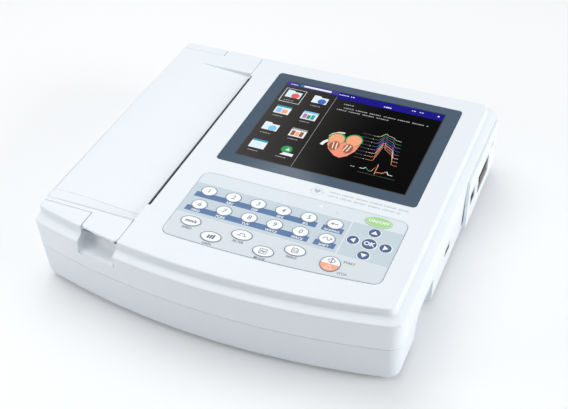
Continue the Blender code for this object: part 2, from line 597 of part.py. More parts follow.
def gear(name, x, z, teeth, phase, colour):
    """Spur gear with straight-flanked teeth; the phase is the angle of the first tooth's centre."""
    pitch_radius = 0.5 * GEAR_MODULE * teeth
    radii = (pitch_radius - 0.95 * MM, pitch_radius, pitch_radius + 0.68 * MM)
    widths = (0.30, 0.21, 0.10)
    step = 2.0 * math.pi / teeth
    outline = []
    for i in range(teeth):
        centre = phase + i * step
        flank = list(zip(radii, widths))
        for radius, width in flank:
            angle = centre - width * step
            outline.append((x + radius * math.cos(angle), z + radius * math.sin(angle)))
        for radius, width in reversed(flank):
            angle = centre + width * step
            outline.append((x + radius * math.cos(angle), z + radius * math.sin(angle)))
    y0 = GEAR_FRONT_Y
    wheel = make_object(name, extrude_y(outline, y0, y0 + GEAR_WIDTH), colour, 0.45, origin=(x, y0, z))
    bore = SHAFT_RADIUS + GAP
    return cut(wheel, turned_y(x, z, [(y0 - MM, bore), (y0 + GEAR_WIDTH + MM, bore)], 16))


def gears_and_motor():
    gear("platen_gear", PLATEN_X, PLATEN_Z, PLATEN_TEETH, GEAR_ANGLE, (0.82, 0.80, 0.74))
    half_tooth = math.pi / DRIVE_TEETH
    gear("drive_gear", DRIVE_X, DRIVE_Z, DRIVE_TEETH, GEAR_ANGLE + math.pi + half_tooth, (0.82, 0.80, 0.74))
    half = 9.5 * MM
    motor = make_object("stepper_motor", box(DRIVE_X - half, DRIVE_X + half, 136 * MM, 157 * MM,
                                             DRIVE_Z - half, DRIVE_Z + half), (0.25, 0.25, 0.27), 0.35, 0.8)
    join(motor, turned_y(DRIVE_X, DRIVE_Z, [(129 * MM, SHAFT_RADIUS), (137 * MM, SHAFT_RADIUS)], 16))


def print_head():
    """Thermal head with its finned heat sink, on the right of the paper path."""
    y0 = SLIT_FRONT_Y - MM
    y1 = SLIT_REAR_Y + MM
    left = -83.7 * MM
    outline = [(left, 60.0 * MM), (left, 68.5 * MM), (left + 1.5 * MM, 71.0 * MM),
               (left + 4.0 * MM, 71.0 * MM)]
    for i in range(4):
        z = (70.0 - 3.0 * i) * MM
        outline += [(-72.0 * MM, z), (-72.0 * MM, z - 1.4 * MM)]
        if i < 3:
            outline += [(-78.0 * MM, z - 1.4 * MM), (-78.0 * MM, z - 3.0 * MM)]
    outline.append((-78.0 * MM, 58.0 * MM))
    make_object("print_head", extrude_y(outline, y0, y1), (0.72, 0.73, 0.75), 0.35, 0.9)


def paper_parts():
    """Tray in the bay, the paper roll and the spindle that drops into the tray's slots."""
    x0, x1 = -170.3 * MM, -97.5 * MM
    y0, y1 = -107.0 * MM, 131.0 * MM - 2 * MM
    z0, z1 = 12.0 * MM, 59.5 * MM
    wall = 2.0 * MM
    tray = make_object("paper_tray", box(x0, x1, y0, y1, z0, z1), (0.80, 0.83, 0.87), 0.5)
    trough = [(x0 + wall, 70 * MM), (x0 + wall, PAPER_Z)]
    trough += arc(x0 + wall + 20 * MM, 34 * MM, 20 * MM, math.pi, 1.5 * math.pi, 5)
    trough += arc(x1 - wall - 20 * MM, 34 * MM, 20 * MM, 1.5 * math.pi, 2 * math.pi, 5)
    trough += [(x1 - wall, 70 * MM)]
    cut(tray, extrude_y(trough, y0 + 5 * MM, y1 - 5 * MM))
    slot = SPINDLE_END_RADIUS + 0.4 * MM
    cut(tray, box(PAPER_X - slot, PAPER_X + slot, y0 + 1.2 * MM, y1 - 1.2 * MM, PAPER_Z - slot, 80 * MM))

    axis = (PAPER_X, PRINT_CENTRE_Y, PAPER_Z)
    half = 0.5 * PAPER_WIDTH
    ends = (PRINT_CENTRE_Y - half, PRINT_CENTRE_Y + half)
    wound = turned_y(PAPER_X, PAPER_Z, [(ends[0], PAPER_RADIUS), (ends[1], PAPER_RADIUS)], 36)
    roll = make_object("paper_roll", wound, (0.93, 0.93, 0.92), 0.8, origin=axis)
    bore = SPINDLE_RADIUS + GAP
    smooth(cut(roll, turned_y(PAPER_X, PAPER_Z, [(ends[0] - MM, bore), (ends[1] + MM, bore)], 20)))
    tip = 5.0 * MM
    spindle = make_object("paper_spindle", turned_y(PAPER_X, PAPER_Z, [
        (y0 + 1.8 * MM, SPINDLE_END_RADIUS), (y0 + 1.8 * MM + tip, SPINDLE_END_RADIUS),
        (y0 + 2.0 * MM + tip, SPINDLE_RADIUS), (y1 - 2.0 * MM - tip, SPINDLE_RADIUS),
        (y1 - 1.8 * MM - tip, SPINDLE_END_RADIUS), (y1 - 1.8 * MM, SPINDLE_END_RADIUS)], 20),
        (0.30, 0.32, 0.35), 0.5, origin=axis)
    smooth(spindle)


def display():
    outline = rounded_rectangle(*WINDOW, 3.7 * MM)
    make_object("display_window", extrude_z(outline, WINDOW_BOTTOM_Z, WINDOW_TOP_Z),
                (0.10, 0.13, 0.17), 0.12)
    x0, x1, y0, y1 = LCD_GLASS
    margin = 4.0 * MM
    case = box(x0 - margin, x1 + margin, y0 - margin, y1 + margin, 69 * MM, 76.2 * MM)
    lcd = make_object("lcd_module", case, (0.03, 0.03, 0.05), 0.25)
    join(lcd, box(x0, x1, y0, y1, 75 * MM, 78.9 * MM))


def key_layout():
    """Every key as name: (centre x, centre y, half width, half height, colour)."""
    white = (0.93, 0.95, 0.97)
    blue = (0.20, 0.33, 0.58)
    keys = {}
    rows = (("1", "2", "3", "4", "5", "backspace"), ("6", "7", "8", "9", "0", "shift"))
    for row_y, names in zip(DIGIT_ROWS_Y, rows):
        for column, name in enumerate(names):
            keys[name] = (DIGIT_LEFT_X + column * DIGIT_PITCH, row_y, *DIGIT_SIZE, white)
    zigzag = (("speed", -36.2, -105.4), ("gain", -10.9, -117.2), ("filter", 13.3, -105.4),
              ("mode", 38.6, -117.2), ("print", 63.4, -106.4))
    for name, x, y in zigzag:
        keys[name] = (x * MM, y * MM, *FUNCTION_SIZE, white)
    keys["start_stop"] = (96.6 * MM, -110.4 * MM, 9.1 * MM, 9.3 * MM, (0.95, 0.60, 0.42))
    keys["power"] = (117.6 * MM, -47.4 * MM, 12.5 * MM, 6.6 * MM, (0.55, 0.80, 0.42))
    cx, cy = ARROW_CENTRE
    keys["ok"] = (cx, cy, 7.2 * MM, 7.2 * MM, blue)
    for name, dx, dy in (("up", 0, 1), ("down", 0, -1), ("left", -1, 0), ("right", 1, 0)):
        keys[name] = (cx + dx * ARROW_PITCH, cy + dy * ARROW_PITCH, ARROW_RADIUS, ARROW_RADIUS, blue)
    return keys


def ellipse(cx, cy, a, b, sides=KEY_SIDES):
    return [(cx + a * u, cy + b * v) for u, v in circle(1.0, sides)]


def keypad():
    """Overlay with a hole for each key, the keys with their retaining flanges, and the contact board."""
    keys = key_layout()
    overlay = make_object("keypad_overlay", extrude_z(keypad_outline(0.0), KEYPAD_BOTTOM_Z, KEYPAD_TOP_Z),
                          (0.78, 0.83, 0.87), 0.45)
    for x, y, a, b, colour in keys.values():
        hole = ellipse(x, y, a + KEY_CLEARANCE, b + KEY_CLEARANCE)
        cut(overlay, extrude_z(hole, KEYPAD_BOTTOM_Z - MM, KEYPAD_TOP_Z + MM))

    foot_z = 77.8 * MM
    flange_z = KEYPAD_BOTTOM_Z - GAP
    for name, (x, y, a, b, colour) in keys.items():
        rings = []
        for z, grow in ((foot_z, KEY_FLANGE), (flange_z, KEY_FLANGE), (flange_z, 0.0),
                        (KEY_TOP_Z - 0.35 * MM, 0.0), (KEY_TOP_Z, -0.7 * MM)):
            rings.append([(px, py, z) for px, py in ellipse(x, y, a + grow, b + grow)])
        smooth(make_object("key_" + name, loft(rings), colour, 0.4, origin=(x, y, flange_z)), 40)

    make_object("keypad_board", box(KEYPAD_LEFT + 4 * MM, KEYPAD_RIGHT - 4 * MM, -124 * MM, -41 * MM,
                                    74.9 * MM, 76.5 * MM), (0.06, 0.30, 0.16), 0.5)


def inner_boards():
    board = make_object("main_board", box(-68 * MM, 154 * MM, -18 * MM, 134 * MM, 36 * MM, 37.6 * MM),
                        (0.05, 0.28, 0.15), 0.5)
    parts = ((-50, -20, 20, 50, 44), (0, 28, 30, 58, 41), (50, 62, 10, 60, 43), (80, 110, 80, 110, 45),
             (-40, 20, 90, 104, 46))
    for x0, x1, y0, y1, z in parts:
        join(board, box(x0 * MM, x1 * MM, y0 * MM, y1 * MM, 37 * MM, z * MM))
    supply = make_object("power_supply", box(30 * MM, 134 * MM, 85 * MM, 128 * MM, 13 * MM, 15 * MM),
                         (0.45, 0.36, 0.16), 0.5)
    for x0, x1, y0, y1, z in ((36, 60, 92, 120, 33), (68, 80, 90, 124, 30), (90, 124, 92, 118, 31)):
        join(supply, box(x0 * MM, x1 * MM, y0 * MM, y1 * MM, 14 * MM, z * MM))
    x0, x1, y0, y1 = BATTERY
    outline = rounded_rectangle(x0 + 7 * MM, x1 - 7 * MM, y0 + 7 * MM, y1 - 7 * MM, 3 * MM, 3)
    make_object("battery_pack", extrude_z(outline, 11.5 * MM, 31 * MM), (0.10, 0.22, 0.45), 0.4)
    door = make_object("battery_door", box(x0, x1, y0, y1, BASE_Z, DOOR_TOP_Z), (0.84, 0.87, 0.91), 0.4)
    for i in range(4):
        y = (-0.5 + 0.045 * i) * (y1 - y0) * 0.8 + 0.5 * (y0 + y1)
        cut(door, box(x0 + 25 * MM, x1 - 25 * MM, y, y + 1.4 * MM, 0.0, BASE_Z + 0.6 * MM))


def side_ports():
    y0, y1, z0, z1 = PANEL
    outline = rounded_rectangle(y0, y1, z0, z1, 4 * MM)
    panel = make_object("side_port_panel", extrude_x(outline, PANEL_INNER_X, PANEL_FACE_X),
                        (0.88, 0.90, 0.93), 0.35)
    cut(panel,
        side_recess(PATIENT_SOCKET, GAP, 160 * MM, 190 * MM),
        side_recess(NETWORK_SOCKET, GAP, 160 * MM, 190 * MM),
        side_recess(CARD_SLOT, 0.0, 160 * MM, 190 * MM))

    y, z, width, height = PATIENT_SOCKET
    face = 173.5 * MM
    socket = make_object("patient_socket", box(158 * MM, face, y - width / 2, y + width / 2,
                                               z - height / 2, z + height / 2), (0.03, 0.03, 0.035), 0.4)
    d_shape = [(y - 13.5 * MM, z + 4.6 * MM), (y + 13.5 * MM, z + 4.6 * MM),
               (y + 11.8 * MM, z - 4.6 * MM), (y - 11.8 * MM, z - 4.6 * MM)]
    join(socket, extrude_x(d_shape, face - MM, PANEL_FACE_X - 0.3 * MM))

    y, z, width, height = NETWORK_SOCKET
    network_face = PANEL_FACE_X - 0.3 * MM
    socket = make_object("network_socket", box(158 * MM, network_face, y - width / 2, y + width / 2,
                                               z - height / 2, z + height / 2), (0.7, 0.7, 0.72), 0.3, 0.9)
    cut(socket, box(162 * MM, 180 * MM, y - 6 * MM, y + 6 * MM, z - 5 * MM, z + 3.5 * MM))

    y, z, width, height = USB_SOCKET
    socket = make_object("usb_socket", box(156 * MM, 171.5 * MM, y - width / 2, y + width / 2,
                                           z - height / 2, z + height / 2), (0.7, 0.7, 0.72), 0.3, 0.9)
    cut(socket, box(160 * MM, 180 * MM, y - 6.2 * MM, y + 6.2 * MM, z - 2.5 * MM, z + 1.4 * MM))


def mains_module():
    """Mains inlet with three contact blades and a window for the rocker."""
    x0, x1 = INLET_X
    z0, z1 = INLET_Z
    face = 167.0 * MM
    flange = box(x0, x1, INLET_FACE_Y + GAP, face, z0, z1)
    module = make_object("mains_inlet", flange, (0.03, 0.03, 0.03), 0.45)
    join(module, box(x0 + 3 * MM, x1 - 3 * MM, 142 * MM, face - MM, z0 + 2.5 * MM, z1 - 2.5 * MM))
    socket = [(68, 17.5), (94, 17.5), (94, 29.5), (90, 33.5), (72, 33.5), (68, 29.5)]
    cut(module, extrude_y([(x * MM, z * MM) for x, z in socket], 150 * MM, 170 * MM))
    for x, z in ((81, 29), (74.5, 22.5), (87.5, 22.5)):
        join(module, box((x - 1) * MM, (x + 1) * MM, 149 * MM, 158.5 * MM, (z - 2) * MM, (z + 2) * MM))
    cut(module, box(98.6 * MM, 117.4 * MM, 151 * MM, 170 * MM, 17.7 * MM, 33.3 * MM))

    neutral = [(5.2, 6.4), (4.0, 0.0), (5.2, -6.4), (-2.0, -4.5), (-2.0, 4.5)]
    outline = []
    for u, v in neutral:
        y = u * math.cos(ROCKER_REST) - v * math.sin(ROCKER_REST)
        z = u * math.sin(ROCKER_REST) + v * math.cos(ROCKER_REST)
        outline.append((ROCKER_Y + y * MM, ROCKER_Z + z * MM))
    make_object("power_rocker", extrude_x(outline, 99 * MM, 117 * MM), (0.04, 0.04, 0.04), 0.35,
                origin=(108 * MM, ROCKER_Y, ROCKER_Z))

    profile = [(157.3, 5.0), (159.5, 5.0), (159.5, 3.0), (166.5, 3.0), (167.0, 2.5)]
    stud = turned_y(EARTH_X, EARTH_Z, [(y * MM, r * MM) for y, r in profile], 16)
    smooth(make_object("earth_stud", stud, (0.75, 0.62, 0.32), 0.3, 1.0))


def rubber_feet():
    for place, (x, y) in FOOT_PLACES.items():
        profile = [(0.0, FOOT_RADIUS - 0.8 * MM), (0.8 * MM, FOOT_RADIUS), (BASE_Z - GAP, FOOT_RADIUS)]
        foot = make_object("foot_" + place, turned_z(x, y, profile, 20), (0.06, 0.06, 0.065), 0.8)
        smooth(foot)


clear_scene()
top_shell()
bottom_shell()
printer_cover()
hinge_pins()
tear_bar()
platen()
gears_and_motor()
print_head()
paper_parts()
display()
keypad()
inner_boards()
side_ports()
mains_module()
rubber_feet()
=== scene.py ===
import math
import json
import bpy
import bmesh
from mathutils import Matrix, Vector

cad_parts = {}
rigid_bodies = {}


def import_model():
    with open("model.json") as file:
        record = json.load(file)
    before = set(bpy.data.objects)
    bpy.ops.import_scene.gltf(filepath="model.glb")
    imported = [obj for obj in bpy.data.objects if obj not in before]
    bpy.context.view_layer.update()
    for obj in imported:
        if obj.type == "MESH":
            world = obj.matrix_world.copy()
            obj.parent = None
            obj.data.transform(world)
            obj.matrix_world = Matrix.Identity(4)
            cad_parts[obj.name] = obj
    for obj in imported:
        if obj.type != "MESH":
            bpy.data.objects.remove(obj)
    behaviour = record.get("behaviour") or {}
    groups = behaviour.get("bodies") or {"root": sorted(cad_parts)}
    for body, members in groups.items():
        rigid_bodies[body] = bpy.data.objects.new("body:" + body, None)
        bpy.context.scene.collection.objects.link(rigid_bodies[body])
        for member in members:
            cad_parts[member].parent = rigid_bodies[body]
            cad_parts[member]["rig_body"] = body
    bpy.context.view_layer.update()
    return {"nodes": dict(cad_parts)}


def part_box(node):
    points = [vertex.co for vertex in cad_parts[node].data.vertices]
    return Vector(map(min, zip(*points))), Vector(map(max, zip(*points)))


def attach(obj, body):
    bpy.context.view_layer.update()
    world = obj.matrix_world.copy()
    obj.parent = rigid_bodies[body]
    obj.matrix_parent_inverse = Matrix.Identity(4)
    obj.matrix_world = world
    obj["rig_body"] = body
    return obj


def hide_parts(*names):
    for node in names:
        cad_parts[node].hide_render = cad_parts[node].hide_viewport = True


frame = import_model()
nodes = frame["nodes"]
MM = 0.001

# Colours used more than once, linear
WHITE = (0.80, 0.845, 0.885)
KEY_WHITE = (0.90, 0.92, 0.94)
PAPER = (0.86, 0.86, 0.84)

# Finishes
paints = {}
EVEN = (1.0, 1.0, 1.0)
BRUSHED = (1.0, 30.0, 1.0)
NOISE_SPAN = (0.3, 0.7)
GRAIN_SPAN = (0.35, 0.65)
SCUFF_SPAN = (0.42, 0.62)
COAT_ROUGHNESS = 0.06
INK_RELIEF = 0.004 * MM
FILM_GRAIN = {"grain": 0.25 * MM, "relief": 0.01 * MM}

# Printing inks: colour, roughness, change of tone, size of its patches in mm
INKS = {
    "ink_blue": ((0.075, 0.165, 0.35), 0.42, 0.06, 14),
    "ink_grey": ((0.20, 0.235, 0.29), 0.5, 0.06, 14),
    "ink_digit": ((0.075, 0.10, 0.19), 0.45, 0.06, 40),
    "ink_ring": ((0.21, 0.25, 0.35), 0.42, 0.05, 40),
    "ink_rim": ((0.20, 0.225, 0.30), 0.42, 0.05, 40),
    "leaf_pale": ((0.55, 0.78, 0.50), 0.42, 0.04, 40),
    "ink_pale": ((0.48, 0.53, 0.59), 0.5, 0.05, 40),
    "ink_faint": ((0.53, 0.575, 0.62), 0.45, 0.03, 40),
    "ink_white": (KEY_WHITE, 0.45, 0.02, 40),
}

# Colours that the display shows
SCREEN_INKS = {
    "bar": (0.006, 0.003, 0.22), "bar_left": (0.055, 0.040, 0.30), "white": (0.80, 0.81, 0.84),
    "grey": (0.34, 0.34, 0.34), "dim": (0.14, 0.14, 0.15), "sky": (0.22, 0.55, 0.80),
    "teal": (0.03, 0.32, 0.45), "pale": (0.66, 0.82, 0.92), "red": (0.80, 0.12, 0.12),
    "leaf": (0.02, 0.33, 0.10), "peach": (0.90, 0.36, 0.20), "salmon": (0.86, 0.28, 0.19),
    "brown": (0.30, 0.10, 0.06), "clay": (0.62, 0.25, 0.16), "cream": (0.90, 0.72, 0.55),
    "violet": (0.45, 0.18, 0.45), "royal": (0.05, 0.15, 0.55),
}
SCREEN_SLOTS = {name: i + 1 for i, name in enumerate(SCREEN_INKS)}

# CAD nodes that keep their shape: finish, edge width in mm, segments, nodes
CAD_FINISHES = (
    ("shell_white", 0.5, 3, ("top_shell",)),
    ("shell_white_low", 0.5, 3, ("bottom_shell",)),
    ("shell_white_low", 0.3, 2, ("battery_door",)),
    ("tray_grey", 0.4, 2, ("paper_tray",)),
    ("film_light", 0.1, 1, ("keypad_overlay",)),
    ("window_slate", 0.3, 3, ("display_window",)),
    ("lcd_case", 0.3, 2, ("lcd_module",)),
    ("board_green", 0.15, 1, ("keypad_board", "main_board")),
    ("board_tan", 0.15, 1, ("power_supply",)),
    ("battery_wrap", 1.0, 2, ("battery_pack",)),
    ("spindle_grey", 0.3, 2, ("paper_spindle",)),
    ("alloy", 0.15, 2, ("print_head",)),
    ("motor_case", 0.6, 2, ("stepper_motor",)),
    ("acetal", 0.1, 1, ("platen_gear", "drive_gear")),
    ("acetal", 0.15, 2, ("platen_bush_front", "platen_bush_rear")),
    ("steel", 0.15, 2, ("platen_shaft", "hinge_pin_front", "hinge_pin_rear")),
    ("steel", 0.15, 2, ("network_socket", "usb_socket")),
    ("black_plastic", 0.3, 2, ("patient_socket", "mains_inlet", "power_rocker")),
    ("brass", 0.2, 2, ("earth_stud",)),
    ("rubber", 0.3, 2, tuple(name for name in nodes if name.startswith("foot_"))),
)
SOFT_ANGLE = 28.0
COVER_ANGLE = 24.0
GROOVED_EDGE = 0.25 * MM
NODE_WELD = 0.002 * MM
PIECE_WELD = 0.001 * MM

# Keys
KEY_FLANGE = 0.6 * MM
KEY_SIDES = 56
OVERLAY_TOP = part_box("keypad_overlay")[1].z
PRINT_STEP = 0.02 * MM
DIGITS = "1234567890"
FUNCTION_KEYS = ("speed", "gain", "filter", "mode", "print")
ARROWS = {"up": 0.0, "left": 90.0, "down": 180.0, "right": 270.0}
ARROW_SHAPE = ((-3.0 * MM, -1.8 * MM), (3.0 * MM, -1.8 * MM), (0.0, 2.6 * MM))
DIGIT_RING = 0.62 * MM
RING_WIDTH = {"start_stop": 0.6 * MM, "ok": 0.5 * MM, "power": 0.7 * MM}
RING_WIDTH.update(dict.fromkeys(FUNCTION_KEYS, 0.72 * MM))
RING_WIDTH.update(dict.fromkeys(ARROWS, 0.45 * MM))
SYMBOL_LINE = 0.8 * MM

# Symbols on the white keys: strokes in mm about a key's centre
SYMBOLS = {
    "backspace": [[(-3.2, 0.0), (3.4, 0.0)], [(-1.2, 1.5), (-3.3, 0.0), (-1.2, -1.5)]],
    "shift": [[(-3.6, -1.0), (-2.2, 1.6), (0.2, 1.4), (0.8, -1.2), (2.6, -1.8), (3.8, 0.9)],
              [(2.7, 0.6), (3.9, 1.3), (4.4, 0.0)]],
    "filter": [[(-4.6, -1.2), (-2.6, -1.2), (-1.6, 1.6), (2.0, 1.6), (2.8, -1.4), (4.6, -1.4)],
               [(-1.6, -1.2), (-0.6, -1.6)], [(1.2, -1.4), (2.0, -1.4)]],
    "mode": [[(-3.2, -2.8), (-3.2, 2.8), (3.2, 2.8), (3.2, -2.8), (-3.2, -2.8)],
             [(-2.2, -1.6), (-0.8, 1.6), (0.6, -1.6), (2.2, 1.6)], [(-2.2, 0.6), (2.2, -0.6)]],
    "print": [[(-2.6, -2.6), (-2.6, 2.6), (1.2, 2.6), (2.8, 1.0), (2.8, -2.6), (-2.6, -2.6)],
              [(-1.4, -1.6), (-1.4, 1.4), (0.4, -1.4), (1.6, 1.0), (1.6, -1.6)]],
}

# Keypad print
BAND_REAR = -55.0 * MM
BAND_FRONT = -97.0 * MM
DIVIDE_X = 95.6 * MM
FRONT_BOW = 1080.0 * MM
FRONT_BOW_X = -5.0 * MM
FRONT_STEPS = 24
STRIP_REAR = 3.2 * MM
STRIP_FRONT = 10.0 * MM
STRIPS = (("1", "5", 10.8, 9.4), ("6", "0", 10.8, 9.4), ("backspace", "backspace", 9.6, 9.6),
          ("shift", "shift", 9.6, 9.6))
STRIP_CAPTIONS = {"2": "ABC", "3": "DEF", "4": "GHI", "5": "JKL", "6": "MNO", "7": "PQRS", "8": "TUV",
                  "9": "WXYZ", "0": "SPACE", "backspace": "BACKSPACE", "shift": "SHIFT"}

# Display picture, in mm from the case centre
PICTURE = (-41.0, 126.8, -3.6, 125.8)
SURROUND = 1.1
PANE_RIGHT = 15.8
BAR_LOW = 119.8
BAR_RIGHT_LOW = 114.8
ICON_COLUMNS = (-27.0, 2.0)
ICON_ROWS = (105.0, 76.5, 46.5, 17.0)
DIAGRAM_AT = (49.0, 45.0)
CURVE_INKS = ("cream", "leaf", "violet", "royal", "violet", "cream", "peach", "salmon")
HEARTBEAT = [(76.0, 18.0), (79.5, 18.0), (81.5, 20.6), (83.5, 18.0), (86.0, 16.4), (87.8, 17.2),
             (91.0, 29.0), (91.6, 13.5), (93.0, 17.0), (98.0, 17.4), (101.5, 21.2), (104.0, 17.2),
             (108.0, 17.2)]
HEARTBEAT_INKS = (("white", 0, 3), ("leaf", 2, 5), ("violet", 4, 6), ("peach", 5, 11), ("white", 10, 13))

# Other places
SCREW_PLACES = [(x * MM, y * MM) for y in (-90.0, 112.0) for x in (-150.0, 148.0)]
SCREW_SIDES = 28
SCREW_FACE = 1.9 * MM
HEATER_Z = (62.5 * MM, 67.8 * MM)
ROCKER_AXIS = (160.5 * MM, 25.5 * MM)
ROCKER_REST = math.radians(-9.0)

# Camera and lights
LENS = 60.57
CAMERA_PLACE = (0.3004, -0.6361, 0.6436)
CAMERA_RIGHT = Vector((0.91784, 0.39575, -0.03072))
CAMERA_UP = Vector((-0.24030, 0.61557, 0.75056))
LIGHTS = (("key_light", (-0.5, 0.4, 1.5), (0.0, 0.0, 0.0), (1.4, 1.4), 12.6),
          ("side_light", (1.7, 0.12, 0.55), (0.15, 0.0, 0.05), (1.2, 0.9), 17.0),
          ("front_light", (-0.75, -0.6, 0.4), (-0.15, -0.16, 0.05), (0.4, 0.4), 2.0))
HORIZON = (0.19, 0.197, 0.202)
ZENITH = (0.64, 0.655, 0.67)
FLOOR = (0.91, 0.915, 0.92)
FLOOR_SIZE = 40.0
FLOOR_STEPS = 8


# -------- materials

def link(tree, output, target):
    tree.links.new(output, target)


def add_node(tree, kind, **values):
    made = tree.nodes.new(kind)
    for key, value in values.items():
        setattr(made, key, value)
    return made


def set_inputs(node, **values):
    """Set constants on sockets; an underscore stands for a space in a name."""
    for key, value in values.items():
        node.inputs[key.replace("_", " ")].default_value = value


def open_material(material):
    """A material's tree, its shader and its object coordinates."""
    tree = material.node_tree
    place = add_node(tree, "ShaderNodeTexCoord").outputs["Object"]
    return tree, tree.nodes["Principled BSDF"], place


def mapped(tree, place, **values):
    """Coordinates through a mapping node."""
    mapping = add_node(tree, "ShaderNodeMapping")
    set_inputs(mapping, **values)
    link(tree, place, mapping.inputs["Vector"])
    return mapping.outputs["Vector"]


def noise(tree, place, size, detail=3.0, stretch=EVEN):
    """Noise of features of the given size in metres; the stretch lengthens them along an axis."""
    scaled = mapped(tree, place, Scale=[1.0 / (size * s) for s in stretch])
    texture = add_node(tree, "ShaderNodeTexNoise")
    set_inputs(texture, Scale=1.0, Detail=detail)
    link(tree, scaled, texture.inputs["Vector"])
    return texture.outputs["Fac"]


def map_range(tree, value, low, high, to_low, to_high):
    made = add_node(tree, "ShaderNodeMapRange")
    set_inputs(made, From_Min=low, From_Max=high, To_Min=to_low, To_Max=to_high)
    link(tree, value, made.inputs["Value"])
    return made.outputs["Result"]


def mix_colour(tree, factor, first, second):
    """Mix of two colours, each a tuple or an output."""
    made = add_node(tree, "ShaderNodeMix", data_type="RGBA")
    link(tree, factor, made.inputs["Factor"])
    for socket, colour in ((made.inputs[6], first), (made.inputs[7], second)):
        if isinstance(colour, tuple):
            socket.default_value = (*colour, 1.0)
        else:
            link(tree, colour, socket)
    return made.outputs[2]


def multiply(tree, first, second):
    """Product of an output and a number or another output."""
    made = add_node(tree, "ShaderNodeMath", operation="MULTIPLY")
    link(tree, first, made.inputs[0])
    if isinstance(second, float):
        made.inputs[1].default_value = second
    else:
        link(tree, second, made.inputs[1])
    return made.outputs[0]


def add_bump(tree, shader, height, distance):
    """Relief of a shader from a height."""
    bump = add_node(tree, "ShaderNodeBump")
    set_inputs(bump, Distance=distance, Strength=1.0)
    link(tree, height, bump.inputs["Height"])
    link(tree, bump.outputs["Normal"], shader.inputs["Normal"])


def edge_mask(tree, width):
    """Near 1 on edges, 0 on flat faces: how far a rounded normal leans from the true one."""
    rounded = add_node(tree, "ShaderNodeBevel", samples=4)
    set_inputs(rounded, Radius=width)
    geometry = add_node(tree, "ShaderNodeNewGeometry")
    dot = add_node(tree, "ShaderNodeVectorMath", operation="DOT_PRODUCT")
    link(tree, rounded.outputs["Normal"], dot.inputs[0])
    link(tree, geometry.outputs["Normal"], dot.inputs[1])
    return map_range(tree, dot.outputs["Value"], 0.995, 0.85, 0.0, 1.0)


def shade(colour, factor):
    return tuple(min(1.0, c * factor) for c in colour)


def surface(name, colour, roughness, metallic=0.0, coat=0.0, specular=0.5, tone=0.03, patch=40 * MM,
            grain=0.45 * MM, relief=0.012 * MM, stretch=EVEN, spread=0.06, wear=0.0,
            wear_width=0.7 * MM, wear_colour=None, glow=0.0):
    """Procedural finish: drifting tone, grain relief, uneven gloss and lighter, rubbed edges."""
    material = bpy.data.materials.new(name)
    material.use_nodes = True
    tree, shader, place = open_material(material)
    set_inputs(shader, Metallic=metallic, Coat_Weight=coat, Coat_Roughness=COAT_ROUGHNESS,
               Specular_IOR_Level=specular)
    drift = map_range(tree, noise(tree, place, patch, 2.0), *NOISE_SPAN, 0.0, 1.0)
    tones = mix_colour(tree, drift, shade(colour, 1.0 - tone), shade(colour, 1.0 + tone))
    fine = noise(tree, place, grain, 4.0, stretch)
    specks = map_range(tree, fine, *GRAIN_SPAN, 0.0, 0.5)
    tones = mix_colour(tree, specks, tones, shade(colour, 1.0 - 0.6 * tone))
    if wear > 0.0:
        scuffs = map_range(tree, noise(tree, place, 6 * MM, 5.0), *SCUFF_SPAN, 0.25, 1.0)
        mask = multiply(tree, multiply(tree, edge_mask(tree, wear_width), scuffs), wear)
        tones = mix_colour(tree, mask, tones, wear_colour or shade(colour, 1.18))
    link(tree, tones, shader.inputs["Base Color"])
    gloss = noise(tree, place, 9 * MM, 5.0, stretch)
    link(tree, map_range(tree, gloss, *NOISE_SPAN, roughness - spread, roughness + spread),
         shader.inputs["Roughness"])
    add_bump(tree, shader, fine, relief)
    if glow > 0.0:
        set_inputs(shader, Emission_Color=(*colour, 1.0), Emission_Strength=glow)
    return material


def add_finish(name, colour, roughness, **values):
    paints[name] = surface(name, colour, roughness, **values)


def ringed_paper(name, axis):
    """Thermal paper wound on a core, with fine rings on its ends."""
    material = surface(name, PAPER, 0.55, grain=0.2 * MM, relief=0.02 * MM, stretch=(1.0, 6.0, 1.0))
    tree, shader, place = open_material(material)
    centred = mapped(tree, place, Location=(-axis[0], 0.0, -axis[1]))
    rings = add_node(tree, "ShaderNodeTexWave", wave_type="RINGS", rings_direction="Y")
    set_inputs(rings, Scale=400.0, Distortion=1.5)
    link(tree, centred, rings.inputs["Vector"])
    bands = map_range(tree, rings.outputs["Fac"], 0.2, 0.9, 0.0, 0.35)
    link(tree, mix_colour(tree, bands, PAPER, (0.58, 0.57, 0.54)), shader.inputs["Base Color"])
    return material


def circuit_board(name, mask_colour):
    """Solder mask over copper runs, with the runs standing slightly proud."""
    material = surface(name, mask_colour, 0.35, coat=0.3, tone=0.12, patch=15 * MM)
    tree, shader, place = open_material(material)
    scaled = mapped(tree, place, Scale=(260.0, 260.0, 260.0))
    runs = add_node(tree, "ShaderNodeTexBrick", offset=0.37, squash=0.6)
    set_inputs(runs, Mortar_Size=0.06)
    link(tree, scaled, runs.inputs["Vector"])
    copper = mix_colour(tree, runs.outputs["Fac"], mask_colour, shade(mask_colour, 2.1))
    link(tree, copper, shader.inputs["Base Color"])
    add_bump(tree, shader, runs.outputs["Fac"], 0.03 * MM)
    return material


